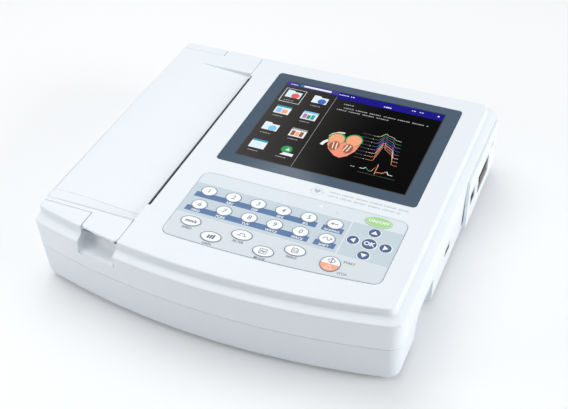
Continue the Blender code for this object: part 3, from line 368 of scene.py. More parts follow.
def screen_backing(name):
    """Unlit part of the display: black, greyed towards the left by a painted reflection."""
    material = surface(name, (0.004, 0.004, 0.004), 0.12, specular=0.04, tone=0.1, grain=0.3 * MM,
                       relief=0.0004 * MM, spread=0.02)
    tree, shader, place = open_material(material)
    parts = add_node(tree, "ShaderNodeSeparateXYZ")
    link(tree, place, parts.inputs["Vector"])
    # Painted reflection: the black is lifted to grey towards the left of the panel
    side = map_range(tree, parts.outputs["X"], -42 * MM, 75 * MM, 1.0, 0.0)
    curve = add_node(tree, "ShaderNodeMath", operation="POWER")
    curve.inputs[1].default_value = 1.5
    link(tree, side, curve.inputs[0])
    painted_reflection = mix_colour(tree, curve.outputs[0], (0.0008, 0.0008, 0.0009), (0.056, 0.052, 0.049))
    link(tree, painted_reflection, shader.inputs["Base Color"])
    return material


def make_plastics():
    """Moulded parts, glass, rubber, card and boards."""
    add_finish("shell_white", WHITE, 0.42, tone=0.008, wear=0.35, relief=0.010 * MM)
    add_finish("shell_white_low", (0.765, 0.81, 0.85), 0.45, tone=0.010, wear=0.35)
    add_finish("cover_white", WHITE, 0.40, tone=0.008, wear=0.4, relief=0.008 * MM)
    add_finish("tray_grey", (0.62, 0.66, 0.70), 0.5, wear=0.3)
    add_finish("window_slate", (0.062, 0.098, 0.142), 0.10, specular=0.35, relief=0.0006 * MM,
               spread=0.02, wear=0.3, wear_width=0.4 * MM)
    add_finish("lcd_case", (0.03, 0.03, 0.04), 0.3, tone=0.05)
    add_finish("rubber", (0.028, 0.028, 0.030), 0.72, specular=0.3, tone=0.12, grain=0.3 * MM,
               relief=0.05 * MM, wear=0.4, wear_colour=(0.10, 0.10, 0.10))
    add_finish("black_plastic", (0.018, 0.018, 0.020), 0.42, tone=0.08, wear=0.4,
               wear_colour=(0.07, 0.07, 0.07))
    add_finish("acetal", (0.74, 0.73, 0.69), 0.42, wear=0.2)
    add_finish("heater_glaze", (0.10, 0.055, 0.03), 0.12, coat=0.6, tone=0.08)
    add_finish("spindle_grey", (0.16, 0.17, 0.19), 0.48, tone=0.05, wear=0.3)
    add_finish("core_card", (0.42, 0.31, 0.20), 0.8, tone=0.12, grain=0.5 * MM, relief=0.05 * MM)
    add_finish("battery_wrap", (0.04, 0.09, 0.24), 0.35, coat=0.3, tone=0.06, patch=20 * MM)
    paints["board_green"] = circuit_board("board_green", (0.02, 0.16, 0.075))
    paints["board_tan"] = circuit_board("board_tan", (0.26, 0.19, 0.07))
    paints["screen_backing"] = screen_backing("screen_backing")


def make_metals():
    add_finish("steel", (0.60, 0.61, 0.63), 0.26, metallic=1.0, tone=0.05, stretch=BRUSHED,
               grain=0.15 * MM, relief=0.006 * MM, wear=0.4)
    # Dark steel for the tear bar; its dark colour also paints the shade inside the paper slit
    add_finish("slit_shade_steel", (0.10, 0.105, 0.115), 0.4, metallic=0.7, tone=0.06, stretch=BRUSHED,
               grain=0.15 * MM, relief=0.006 * MM, wear=0.3, wear_colour=(0.3, 0.3, 0.31))
    add_finish("alloy", (0.55, 0.56, 0.58), 0.38, metallic=1.0, tone=0.06, stretch=BRUSHED,
               grain=0.2 * MM, relief=0.01 * MM, wear=0.4)
    add_finish("brass", (0.78, 0.60, 0.28), 0.3, metallic=1.0, tone=0.06, grain=0.2 * MM, wear=0.4)
    add_finish("gold_contact", (0.95, 0.72, 0.32), 0.22, metallic=1.0, tone=0.05)
    add_finish("motor_case", (0.22, 0.22, 0.235), 0.36, metallic=0.9, tone=0.06, wear=0.4)


def make_keypad_finishes():
    """Membrane, keys and printing inks."""
    add_finish("film_light", (0.71, 0.77, 0.81), 0.5, tone=0.01, wear=0.3, wear_width=0.4 * MM,
               **FILM_GRAIN)
    films = {"film_mid": (0.55, 0.635, 0.69), "film_dark": (0.55, 0.64, 0.69),
             "film_front": (0.67, 0.725, 0.765)}
    for name, colour in films.items():
        add_finish(name, colour, 0.5, tone=0.012, **FILM_GRAIN)
    keys = (("key_white", KEY_WHITE, 0.36, 0.012, 0.25),
            ("key_blue", (0.050, 0.098, 0.24), 0.36, 0.05, 0.3),
            ("key_green", (0.37, 0.66, 0.26), 0.38, 0.04, 0.3),
            ("key_orange", (0.90, 0.39, 0.23), 0.38, 0.04, 0.3))
    for name, colour, roughness, tone, wear in keys:
        add_finish(name, colour, roughness, tone=tone, wear=wear, wear_width=0.5 * MM)
    for name, (colour, roughness, tone, patch) in INKS.items():
        add_finish(name, colour, roughness, tone=tone, patch=patch * MM, relief=INK_RELIEF)


def make_screen_finishes():
    """Colours that the display shows, glossy and faintly lit."""
    for name, colour in SCREEN_INKS.items():
        add_finish("screen_" + name, colour, 0.2, specular=0.08, patch=5 * MM, grain=0.3 * MM,
                   relief=0.0005 * MM, glow=0.05)


# -------- mesh helpers

def piece(name, bm, finishes, body, smooth_angle=None):
    """Object from a bmesh in case coordinates, riding on a body."""
    mesh = bpy.data.meshes.new(name)
    bm.to_mesh(mesh)
    bm.free()
    for finish in finishes:
        mesh.materials.append(paints[finish])
    obj = bpy.data.objects.new(name, mesh)
    bpy.context.scene.collection.objects.link(obj)
    if smooth_angle:
        mesh.shade_smooth()
        mesh.set_sharp_from_angle(angle=math.radians(smooth_angle))
    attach(obj, body)
    return obj


def body_of(node):
    return nodes[node]["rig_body"]


def box_of(node):
    """A node's lowest corner, highest corner and centre."""
    low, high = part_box(node)
    return low, high, (low + high) / 2


def soften(obj, width, segments, angle, planar):
    """Round an object's edges and even out its shading, with modifiers only."""
    weld = obj.modifiers.new("weld", "WELD")
    weld.merge_threshold = NODE_WELD
    if planar:
        merge = obj.modifiers.new("planar", "DECIMATE")
        merge.decimate_type = "DISSOLVE"
        merge.angle_limit = math.radians(0.4)
    bevel = obj.modifiers.new("bevel", "BEVEL")
    bevel.width = width
    bevel.segments = segments
    bevel.limit_method = "ANGLE"
    bevel.angle_limit = math.radians(angle)
    bevel.use_clamp_overlap = False
    bevel.miter_outer = "MITER_ARC"
    even = obj.modifiers.new("even", "WEIGHTED_NORMAL")
    even.keep_sharp = False
    even.weight = 80


def dress(node, finish, width, segments, angle=SOFT_ANGLE, planar=True):
    """Give a CAD node its finish and rounded edges."""
    obj = nodes[node]
    obj.data.materials.clear()
    obj.data.materials.append(paints[finish])
    obj.data.shade_smooth()
    soften(obj, width, segments, angle, planar)


def dress_nodes():
    """Finish the CAD nodes; the two grooved ones keep their flat faces unmerged."""
    for finish, width, segments, members in CAD_FINISHES:
        for node in members:
            dress(node, finish, width * MM, segments)
    dress("printer_cover", "cover_white", GROOVED_EDGE, 2, COVER_ANGLE, planar=False)
    dress("side_port_panel", "shell_white", GROOVED_EDGE, 3, planar=False)


def ellipse(cx, cy, a, b, sides=KEY_SIDES):
    angles = [2.0 * math.pi * i / sides for i in range(sides)]
    return [(cx + a * math.cos(t), cy + b * math.sin(t)) for t in angles]


def quarter(cx, cy, radius, start):
    """Quarter circle from an angle in degrees."""
    angles = [math.radians(start + 90.0 * i / 8) for i in range(9)]
    return [(cx + radius * math.cos(t), cy + radius * math.sin(t)) for t in angles]


def rectangle(x0, x1, y0, y1):
    return [(x0, y0), (x1, y0), (x1, y1), (x0, y1)]


def about(points, x, y):
    """Points given in mm about a place."""
    return [(x + u * MM, y + v * MM) for u, v in points]


def bridge(bm, rings, cap_start=True, cap_end=True, slot=0):
    """Faces through rings of equally many points."""
    rows = [[bm.verts.new(point) for point in ring] for ring in rings]
    count = len(rows[0])
    for low, high in zip(rows, rows[1:]):
        for i in range(count):
            j = (i + 1) % count
            bm.faces.new((low[i], low[j], high[j], high[i])).material_index = slot
    if cap_start:
        bm.faces.new(list(reversed(rows[0]))).material_index = slot
    if cap_end:
        bm.faces.new(rows[-1]).material_index = slot


def flat(bm, points, z, slot):
    """Flat printed area, facing up."""
    face = bm.faces.new([bm.verts.new((x, y, z)) for x, y in points])
    face.normal_update()
    if face.normal.z < 0.0:
        face.normal_flip()
    face.material_index = slot


def ribbon(bm, points, width, z, slot):
    """Printed line of even width through points."""
    half = 0.5 * width
    sides = []
    for i, point in enumerate(points):
        before = Vector(points[max(i - 1, 0)])
        after = Vector(points[min(i + 1, len(points) - 1)])
        along = (after - before).normalized()
        across = Vector((-along.y, along.x)) * half
        here = Vector(point)
        sides.append((here + across, here - across))
    for (a, b), (c, d) in zip(sides, sides[1:]):
        flat(bm, [a, b, d, c], z, slot)


def lettering(bm, text, x, y, z, size, slot, shear=0.0, weight=0.0):
    """Flat letters in the built-in font, centred on a point."""
    curve = bpy.data.curves.new("lettering", "FONT")
    curve.body = text
    curve.size = size
    curve.shear = shear
    curve.offset = weight
    curve.align_x = "CENTER"
    curve.align_y = "CENTER"
    curve.resolution_u = 3
    holder = bpy.data.objects.new("lettering", curve)
    bpy.context.scene.collection.objects.link(holder)
    bpy.context.view_layer.update()
    evaluated = holder.evaluated_get(bpy.context.evaluated_depsgraph_get())
    mesh = bpy.data.meshes.new_from_object(evaluated)
    mesh.transform(Matrix.Translation((x, y, z)))
    before = len(bm.faces)
    bm.from_mesh(mesh)
    bm.faces.ensure_lookup_table()
    for face in bm.faces[before:]:
        face.material_index = slot
        face.normal_update()
        if face.normal.z < 0.0:
            face.normal_flip()
    bpy.data.objects.remove(holder, do_unlink=True)
    bpy.data.curves.remove(curve)
    bpy.data.meshes.remove(mesh)


def text_dashes(bm, x0, x1, y, z, slot, height=1.6, pitch=2.1):
    """Row of unreadable marks standing for a line of text, in mm."""
    for i in range(int((x1 - x0) / pitch)):
        if i % 7 == 5:
            continue
        left = x0 + i * pitch
        wide = pitch * (0.62 + 0.14 * ((i * 5) % 3))
        tall = height * (0.72 + 0.14 * ((i * 3) % 3))
        flat(bm, about(rectangle(left, left + wide, y, y + tall), 0.0, 0.0), z, slot)


def turned_y(bm, x, z, profile, sides, slot=0):
    """Open surface turned about an axis along Y from (y, radius) pairs."""
    rings = [[(px, y, pz) for px, pz in ellipse(x, z, radius, radius, sides)] for y, radius in profile]
    bridge(bm, rings, False, False, slot)


def block(bm, x0, x1, y0, y1, z0, z1, slot=0):
    corners = rectangle(x0, x1, y0, y1)
    bridge(bm, [[(x, y, z) for x, y in corners] for z in (z0, z1)], slot=slot)


def pin(bm, x0, x1, y, z, radius, sides, slot):
    """Closed round or many-sided pin along X."""
    ring = ellipse(y, z, radius, radius, sides)
    bridge(bm, [[(x, u, v) for u, v in ring] for x in (x0, x1)], slot=slot)


# -------- keys

def key_frame(name):
    """Centre and half sizes of a key's cap."""
    low, high, centre = box_of("key_" + name)
    half = (high - low) / 2
    return centre.x, centre.y, half.x - KEY_FLANGE, half.y - KEY_FLANGE


def key_cap(name, ring_slot):
    """Key with a hidden flange, a soft shoulder and a printed ring; its mesh, centre and top."""
    bm = bmesh.new()
    x, y, a, b = key_frame(name)
    foot, top = [corner.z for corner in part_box("key_" + name)]
    flange = OVERLAY_TOP - 1.5 * MM
    width = RING_WIDTH.get(name, DIGIT_RING)
    shoulder = [(foot, KEY_FLANGE), (flange, KEY_FLANGE), (flange, 0.0), (top - 0.22 * MM, 0.0),
                (top - 0.1 * MM, -0.04 * MM), (top - 0.03 * MM, -0.12 * MM), (top, -0.26 * MM),
                (top, -0.26 * MM - width)]
    crown = [(top, -0.26 * MM - width), (top + 0.01 * MM, -1.6 * MM - width)]
    for profile, slot in ((shoulder, ring_slot), (crown, 0)):
        rings = [[(px, py, z) for px, py in ellipse(x, y, a + grow, b + grow)] for z, grow in profile]
        bridge(bm, rings, cap_start=slot > 0, cap_end=slot == 0, slot=slot)
    bmesh.ops.remove_doubles(bm, verts=bm.verts, dist=PIECE_WELD)
    return bm, x, y, top


def finish_key(name, bm, finishes):
    obj = piece("cap_" + name, bm, finishes, "key_" + name, 35.0)
    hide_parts("key_" + name)


def text_key(name, text, size, ring_slot, finishes, shear=0.0, weight=0.0):
    """Key with a digit or a short word on it."""
    bm, x, y, top = key_cap(name, ring_slot)
    lettering(bm, text, x, y, top + PRINT_STEP, size, 1, shear, weight)
    finish_key(name, bm, finishes)


def arrow_key(name, angle):
    bm, x, y, top = key_cap(name, 1)
    turn = math.radians(angle)
    points = [(x + u * math.cos(turn) - v * math.sin(turn), y + u * math.sin(turn) + v * math.cos(turn))
              for u, v in ARROW_SHAPE]
    flat(bm, points, top + PRINT_STEP, 1)
    finish_key(name, bm, ("key_blue", "ink_white"))


def start_key():
    """Round key, white behind and orange in front, with a start mark and a stop mark."""
    bm, x, y, top = key_cap("start_stop", 4)
    a, b = key_frame("start_stop")[2:]
    z = top + 2 * PRINT_STEP
    rim = 0.87 * MM
    lower = [p for p in ellipse(x, y, a - rim, b - rim) if p[1] <= y + 0.01 * MM]
    flat(bm, lower, z, 1)
    diamond = [(0.0, 6.8), (-3.6, 3.9), (0.0, 1.2), (3.6, 3.9), (0.0, 6.8)]
    bar = [(0.0, 6.2), (0.0, 1.8)]
    triangle = [(0.0, -1.6), (-3.2, -6.0), (3.2, -6.0), (0.0, -1.6)]
    for line, width, slot in ((diamond, 0.75, 2), (bar, 0.7, 2), (triangle, 0.7, 3)):
        ribbon(bm, about(line, x, y), width * MM, z + PRINT_STEP, slot)
    finishes = ("key_white", "key_orange", "ink_digit", "ink_white", "ink_rim")
    finish_key("start_stop", bm, finishes)


def gain_bars(bm, x, y, z):
    """Three leaning bars of rising height."""
    wide, lean = 1.7 * MM, 0.5 * MM
    low = y - 2.3 * MM
    for i in range(3):
        left = x + (-3.3 + 2.4 * i) * MM
        high = y + (1.7 + 0.5 * i) * MM
        flat(bm, [(left, low), (left + wide, low), (left + wide + lean, high), (left + lean, high)], z, 1)


def symbol_key(name):
    """White key with a symbol of thin strokes, three bars or a unit."""
    bm, x, y, top = key_cap(name, 2)
    z = top + 2 * PRINT_STEP
    for line in SYMBOLS.get(name, ()):
        ribbon(bm, about(line, x, y), SYMBOL_LINE, z, 1)
    if name == "speed":
        lettering(bm, "mm/s", x, y, z, 5.0 * MM, 1, shear=0.1, weight=0.16 * MM)
    if name == "gain":
        gain_bars(bm, x, y, z)
    ink = "ink_digit" if name in ("speed", "gain") else "ink_grey"
    rim = "ink_rim" if name in FUNCTION_KEYS else "ink_ring"
    finish_key(name, bm, ("key_white", ink, rim))


def make_keys():
    for name in DIGITS:
        text_key(name, name, 7.4 * MM, 2, ("key_white", "ink_digit", "ink_ring"), shear=0.1)
    for name, angle in ARROWS.items():
        arrow_key(name, angle)
    for name in ("backspace", "shift") + FUNCTION_KEYS:
        symbol_key(name)
    text_key("ok", "OK", 6.6 * MM, 1, ("key_blue", "ink_white"), weight=0.25 * MM)
    text_key("power", "ON/OFF", 5.2 * MM, 2, ("key_green", "ink_white", "leaf_pale"), weight=0.12 * MM)
    start_key()


# -------- printing

def front_curve(x, inset):
    """Front edge of the overlay at one x."""
    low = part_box("keypad_overlay")[0]
    return low.y + inset + FRONT_BOW - math.sqrt(FRONT_BOW ** 2 - (x - FRONT_BOW_X) ** 2)


def print_areas(bm, z):
    """Toned areas of the membrane: digit band, arrow block and front part."""
    low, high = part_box("keypad_overlay")
    margin = 0.6 * MM
    left = low.x + margin
    right = high.x - margin
    flat(bm, rectangle(left, DIVIDE_X, BAND_FRONT, BAND_REAR), z, 1)
    flat(bm, rectangle(DIVIDE_X + 1.4 * MM, right, BAND_FRONT, BAND_REAR + margin), z, 2)
    corner = 8.5 * MM
    start, end = BAND_FRONT - 1.0 * MM, BAND_FRONT - 14.0 * MM
    cut, rise = 2.2 * MM, 3.5 * MM
    outline = [(left, start), (left, end), (left + cut, front_curve(left, rise))]
    for i in range(FRONT_STEPS + 1):
        x = left + corner + (right - left - 2 * corner) * i / FRONT_STEPS
        outline.append((x, front_curve(x, 0.7 * MM)))
    outline += [(right - cut, front_curve(right, rise)), (right, end), (right, start)]
    flat(bm, outline, z, 3)


def print_strips(bm, z):
    """Blue strips with slanted ends that run under the digit keys."""
    slant = 0.4 * MM
    for first, last, before, after in STRIPS:
        y = key_frame(first)[1]
        left = key_frame(first)[0] - before * MM
        right = key_frame(last)[0] + after * MM
        flat(bm, [(left, y - STRIP_FRONT), (right, y - STRIP_FRONT), (right + slant, y - STRIP_REAR),
                  (left + slant, y - STRIP_REAR)], z, 4)


def print_captions(bm, z):
    """Small generic captions on the strips and under the function keys."""
    for name, text in STRIP_CAPTIONS.items():
        x, y, _, b = key_frame(name)
        size = 3.7 * MM if len(text) < 6 else 2.6 * MM
        lettering(bm, text, x, y - b - 1.75 * MM, z, size, 6, weight=0.1 * MM)
    for name in FUNCTION_KEYS:
        x, y, _, b = key_frame(name)
        lettering(bm, name.upper(), x, y - b - 2.3 * MM, z, 3.6 * MM, 5, shear=0.1, weight=0.1 * MM)
    x, y, a, _ = key_frame("start_stop")
    for text, across, along in (("START", 5.4, 6.4), ("STOP", 3.8, -7.4)):
        lettering(bm, text, x + a + across * MM, y + along * MM, z, 3.5 * MM, 5, 0.1, 0.06 * MM)


def print_outline(bm, z):
    """Thin grey line round the membrane, just inside its edge."""
    low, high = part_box("keypad_overlay")
    radius = 7.8 * MM
    inset = 0.25 * MM
    left, right, rear = low.x + inset, high.x - inset, high.y - inset
    centres = (left + radius, right - radius)
    fronts = [front_curve(x, inset) + radius for x in centres]
    points = quarter(centres[1], rear - radius, radius, 0.0)
    points += quarter(centres[0], rear - radius, radius, 90.0)
    points += quarter(centres[0], fronts[0], radius, 180.0)
    for i in range(1, FRONT_STEPS):
        x = left + radius + (right - left - 2 * radius) * i / FRONT_STEPS
        points.append((x, front_curve(x, inset)))
    points += quarter(centres[1], fronts[1], radius, 270.0)
    ribbon(bm, points + points[:1], 0.42 * MM, z, 7)


def make_keypad_print():
    """Print on the membrane, with a pale mark and a dot behind the digits."""
    bm = bmesh.new()
    z = OVERLAY_TOP + PRINT_STEP
    print_areas(bm, z)
    print_strips(bm, z + PRINT_STEP)
    print_captions(bm, z + 3 * PRINT_STEP)
    print_outline(bm, z + PRINT_STEP)
    flat(bm, ellipse(63.1 * MM, -45.5 * MM, 2.0 * MM, 1.4 * MM, 24), z, 6)
    flat(bm, ellipse(79.4 * MM, -49.0 * MM, 0.7 * MM, 0.7 * MM, 20), z, 7)
    finishes = ("film_light", "film_mid", "film_dark", "film_front", "ink_blue", "ink_grey", "ink_white",
                "ink_pale")
    piece("keypad_print", bm, finishes, "case")


def heart(x, y, size, sides=28):
    """Outline of a plain heart."""
    points = []
    for i in range(sides):
        t = 2 * math.pi * i / sides
        across = 16 * math.sin(t) ** 3
        along = 13 * math.cos(t) - 5 * math.cos(2 * t) - 2 * math.cos(3 * t) - math.cos(4 * t)
        points.append((x - across * size * MM, y + (along + 2.5) * size * MM))
    return points


def make_deck_print():
    """Heart mark and two rows of pale marks between the display and the keypad."""
    bm = bmesh.new()
    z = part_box("top_shell")[1].z + PRINT_STEP
    x, y = 51.8 * MM, -27.5 * MM
    circle = ellipse(x, y, 5.2 * MM, 5.2 * MM, 36)
    ribbon(bm, circle + circle[:1], 0.4 * MM, z, 0)
    flat(bm, heart(x, y, 0.2), z, 1)
    for side in (-1.0, 1.0):
        ribbon(bm, [(x + side * 5.8 * MM, y), (x + side * 7.4 * MM, y)], 0.8 * MM, z, 0)
    for left, right, low in ((63.4, 138.0, -25.4), (63.2, 133.0, -30.4)):
        text_dashes(bm, left, right, low, z, 0, 2.4, 1.9)
    piece("deck_print", bm, ("ink_faint", "ink_pale"), "case")


# -------- display picture

class Drawing:
    """Flat coloured shapes on the display, in mm, each a level above what it covers."""

    def __init__(self, bm, z):
        self.bm = bm
        self.z = z

    def place(self, points, at):
        return [((at[0] + u) * MM, (at[1] + v) * MM) for u, v in points]

    def area(self, points, ink, level=0, at=(0.0, 0.0)):
        flat(self.bm, self.place(points, at), self.z + level * PRINT_STEP, SCREEN_SLOTS[ink])

    def line(self, points, width, ink, level=0, at=(0.0, 0.0)):
        z = self.z + level * PRINT_STEP
        ribbon(self.bm, self.place(points, at), width * MM, z, SCREEN_SLOTS[ink])

    def marks(self, x0, x1, y, ink, level=0, height=1.6, pitch=2.1):
        text_dashes(self.bm, x0, x1, y, self.z + level * PRINT_STEP, SCREEN_SLOTS[ink], height, pitch)


def folder_icon(art, at, main, badge):
    """Open folder with a round badge."""
    back = [(-8.0, -5.5), (8.0, -5.5), (8.0, 5.0), (0.5, 5.0), (-1.5, 7.0), (-8.0, 7.0)]
    art.area(back, main, 0, at)
    art.area(rectangle(-6.0, 6.5, -3.5, 3.5), "pale", 1, at)
    art.area(ellipse(2.5, -1.6, 4.4, 4.4, 20), badge, 2, at)


def window_icon(art, at, bar, fills):
    """Small window with a title bar and blocks of colour."""
    art.area(rectangle(-8.0, 8.0, -6.5, 6.5), "white", 0, at)
    art.area(rectangle(-8.0, 8.0, 4.2, 6.9), bar, 1, at)
    for i, fill in enumerate(fills):
        left = -6.5 + 13.0 * i / len(fills)
        right = left + 11.0 / len(fills)
        art.area(rectangle(left, right, -5.0, 2.6 - 1.2 * (i % 2)), fill, 1, at)


def draw_icons(art):
    """Two columns of menu icons, each over a caption of marks, and a box round the first."""
    icons = ((folder_icon, 0, 0, "pale", "red"), (folder_icon, 1, 0, "white", "royal"),
             (window_icon, 0, 1, "teal", ("sky", "peach")),
             (window_icon, 1, 1, "sky", ("violet", "leaf", "teal")), (folder_icon, 0, 2, "white", "sky"),
             (window_icon, 1, 2, "grey", ("brown", "peach", "brown")),
             (window_icon, 0, 3, "teal", ("pale",)))
    for draw, column, row, main, detail in icons:
        draw(art, (ICON_COLUMNS[column], ICON_ROWS[row]), main, detail)
    last = (ICON_COLUMNS[1], ICON_ROWS[3])
    art.area(ellipse(0.0, 2.0, 5.5, 5.5, 24), "leaf", 0, last)
    art.area([(-1.0, 0.4), (3.4, 0.4), (1.2, 4.6)], "white", 1, last)
    art.area([(-4.0, -7.0), (9.0, -7.0), (9.0, -3.0), (-1.0, -3.0)], "white", 1, last)
    for x in ICON_COLUMNS:
        for y in ICON_ROWS:
            art.marks(x - 6.5, x + 7.0, y - 11.3, "grey")
    box = rectangle(-10.9, 10.9, -14.2, 9.4)
    art.line(box + box[:1], 0.7, "white", 0, (ICON_COLUMNS[0], ICON_ROWS[0]))


def draw_bars(art):
    """Title bar with its field, marks and status lights."""
    x0, x1, _, y1 = PICTURE
    art.area(rectangle(x0, PANE_RIGHT, BAR_LOW, y1), "bar_left")
    art.area(rectangle(PANE_RIGHT, x1, BAR_RIGHT_LOW, y1), "bar")
    art.area(rectangle(-22.5, 7.5, 121.4, 124.3), "white", 1)
    art.area(rectangle(-26.5, -22.5, 121.4, 124.3), "leaf", 1)
    rows = ((x0 + 4.0, -28.0, 121.6, 1.6), (16.5, 34.0, 121.4, 1.6), (66.0, 75.0, 116.8, 2.4),
            (94.0, 99.0, 120.6, 1.6), (102.0, 107.0, 120.6, 1.6))
    for left, right, low, height in rows:
        art.marks(left, right, low, "white", 1, height)
    art.area(ellipse(121.5, 121.0, 1.1, 1.1, 16), "white", 1)


def draw_text(art):
    """Line between the two panes, and three lines of text marks beside it."""
    half = 0.22
    art.area(rectangle(PANE_RIGHT - half, PANE_RIGHT + half, PICTURE[2], BAR_LOW), "grey")
    for left, right, low in ((27.0, 38.0, 107.0), (29.0, 119.0, 101.0), (23.0, 80.0, 96.6)):
        art.marks(left, right, low, "grey", 0, 2.0)


def draw_diagram(art):
    """Simple two-lobed section diagram, drawn from plain curves."""
    body = [(-15.0, 3.0), (-14.0, -4.5), (-9.0, -12.5), (-2.0, -18.5), (4.0, -20.0), (10.0, -15.0),
            (14.5, -6.0), (16.0, 5.0)]
    art.area(body, "salmon", 0, DIAGRAM_AT)
    for side in (-1.0, 1.0):
        lift = 8.2 + 1.6 * side
        art.area(ellipse(side * 8.2, lift, 8.6, 9.4, 28), "leaf", 1, DIAGRAM_AT)
        art.area(ellipse(side * 8.2, lift - 0.6, 7.5, 8.2, 28), "peach", 2, DIAGRAM_AT)
        for wide, tall, low, ink, level in ((5.6, 8.0, -4.6, "clay", 3), (4.6, 6.9, -4.4, "brown", 4)):
            room = [(side * 7.0 + wide * u - side * 0.25 * v, low + tall * v)
                    for u, v in ellipse(0.0, 0.0, 1.0, 1.0, 28)]
            art.area(room, ink, level, DIAGRAM_AT)
        for offset in (-1.9, 1.5):
            x = side * 7.0 + offset
            strand = [(x, 1.0), (x - side * 0.6, -3.5), (x - side * 1.6, -9.0)]
            art.line(strand, 1.2, "cream", 5, DIAGRAM_AT)
    art.line([(-16.5, 8.0), (-14.5, 13.0), (-10.0, 16.5), (-4.0, 17.6)], 2.2, "cream", 0, DIAGRAM_AT)
    art.line([(-15.0, 2.0), (-18.0, -2.0), (-19.5, -7.0)], 3.4, "white", 0, DIAGRAM_AT)


def draw_curves(art):
    """Fan of eight timed curves over one heartbeat trace."""
    for i, ink in enumerate(CURVE_INKS):
        y = 69.0 - 5.3 * i
        x = 75.0 + 0.2 * i
        peak = y + 7.0 + 2.4 * i
        fall = 94.0 + 1.0 * i
        line = [(x, y), (77.5 + 0.7 * i, y), (79.0 + 0.7 * i, y + 1.0), (82.0 + 0.6 * i, peak - 1.0),
                (83.2 + 0.6 * i, peak), (85.5 + 0.6 * i, peak - 2.2 - 0.2 * i),
                (fall - 3.0, y + 3.6 + 1.5 * i), (fall - 0.6, y + 1.4 + 0.8 * i), (fall + 0.8, y + 0.6),
                (fall + 3.0, y), (100.5 + 1.0 * i, y)]
        art.line(line, 0.42, ink, i * 0.3)
        art.line([(61.0 + 0.6 * i, y), (x - 2.2, y)], 0.35, "dim")
        art.marks(x - 2.0, x - 0.6, y - 0.5, "white", 0, 1.1, 1.2)
    for ink, start, end in HEARTBEAT_INKS:
        art.line(HEARTBEAT[start:end], 0.7, ink, 1)
    art.line([(76.0, 12.2), (112.0, 12.2)], 0.3, "dim")
    art.marks(67.0, 72.0, 17.2, "grey")


def make_picture():
    """Picture on the display: flat shapes stacked a hair apart over the unlit panel."""
    bm = bmesh.new()
    x0, x1, y0, y1 = PICTURE
    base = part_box("display_window")[1].z + PRINT_STEP
    black = len(SCREEN_INKS) + 1
    border = rectangle(x0 - SURROUND, x1 + SURROUND, y0 - SURROUND, y1 + SURROUND)
    for level, points, slot in ((0, border, black), (1, rectangle(x0, x1, y0, y1), 0)):
        flat(bm, about(points, 0.0, 0.0), base + level * PRINT_STEP, slot)
    art = Drawing(bm, base + 2 * PRINT_STEP)
    for draw in (draw_bars, draw_icons, draw_text, draw_diagram, draw_curves):
        draw(art)
    finishes = ["screen_backing"] + ["screen_" + name for name in SCREEN_INKS] + ["black_plastic"]
    piece("display_picture", bm, finishes, "case")


# -------- printer

def make_tear_bar():
    """Steel strip with a row of fine teeth along its top edge, dark so that it also paints the shade
    inside the paper slit.
    """
    low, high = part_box("tear_bar")
    bm = bmesh.new()
    length = high.y - low.y
    depth = 0.8 * MM
    count = int(length / (1.25 * MM))
    outline = [(low.y, low.z), (high.y, low.z)]
    for i in range(count, -1, -1):
        y = low.y + length * i / count
        outline.append((y, high.z - depth))
        if i:
            outline.append((y - 0.5 * length / count, high.z))
    bridge(bm, [[(x, y, z) for y, z in outline] for x in (low.x, high.x)])
    obj = piece("serrated_bar", bm, ("slit_shade_steel",), body_of("tear_bar"))
    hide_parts("tear_bar")


def mirrored(low, high, half):
    """Profile along Y from half a profile, measured inwards from either end."""
    return [(low.y + u, r) for u, r in half] + [(high.y - u, r) for u, r in reversed(half)]


def add_loose_end(bm, low, high, centre, radius):
    """Free end of the paper, lifting a little off the roll."""
    rows = []
    for i in range(9):
        t = math.radians(62.0) - math.radians(4.0) * i
        r = radius + (0.12 + 0.02 * max(0, 4 - i)) * MM
        rows.append([(centre.x + r * math.cos(t), y, centre.z + r * math.sin(t)) for y in (low.y, high.y)])
    for (a, b), (c, d) in zip(rows, rows[1:]):
        bm.faces.new([bm.verts.new(p) for p in (a, b, d, c)])


def make_roll():
    """Wound paper with a card core and a loose end lying on the roll."""
    low, high, centre = box_of("paper_roll")
    radius = 0.5 * (high.z - low.z)
    bm = bmesh.new()
    sides = 84
    core = 8.6 * MM
    bore = 6.4 * MM
    soft = 0.35 * MM
    sunk = 0.4 * MM
    half = [(sunk, core), (0.0, core + 1.2 * MM), (0.0, radius - soft), (soft, radius)]
    turned_y(bm, centre.x, centre.z, mirrored(low, high, half), sides)
    inner = mirrored(low, high, [(sunk, core), (sunk, bore)])
    turned_y(bm, centre.x, centre.z, inner, sides, 1)
    add_loose_end(bm, low, high, centre, radius)
    bmesh.ops.recalc_face_normals(bm, faces=bm.faces)
    paints["thermal_paper"] = ringed_paper("thermal_paper", (centre.x, centre.z))
    finishes = ("thermal_paper", "core_card")
    obj = piece("wound_paper", bm, finishes, body_of("paper_roll"), 35.0)
    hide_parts("paper_roll")


def make_platen():
    """Ground rubber sleeve with a moulded parting step at each end."""
    low, high, centre = box_of("platen_roller")
    radius = 0.5 * (high.z - low.z)
    bm = bmesh.new()
    shaft = 2.3 * MM
    soft = 0.5 * MM
    half = [(0.0, shaft), (0.0, radius - 2 * soft), (soft, radius - soft),
            (2 * soft, radius - 0.02 * MM), (3 * soft, radius)]
    turned_y(bm, centre.x, centre.z, mirrored(low, high, half), 64)
    bmesh.ops.recalc_face_normals(bm, faces=bm.faces)
    obj = piece("platen_sleeve", bm, ("rubber",), body_of("platen_roller"), 35.0)
    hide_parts("platen_roller")


def make_heater():
    """Glazed heater line along the print head."""
    low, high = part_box("print_head")
    bm = bmesh.new()
    end = 3 * MM
    block(bm, low.x - 0.05 * MM, low.x + 0.4 * MM, low.y + end, high.y - end, *HEATER_Z)
    piece("heater_line", bm, ("heater_glaze",), body_of("print_head"))


# -------- connectors and screws

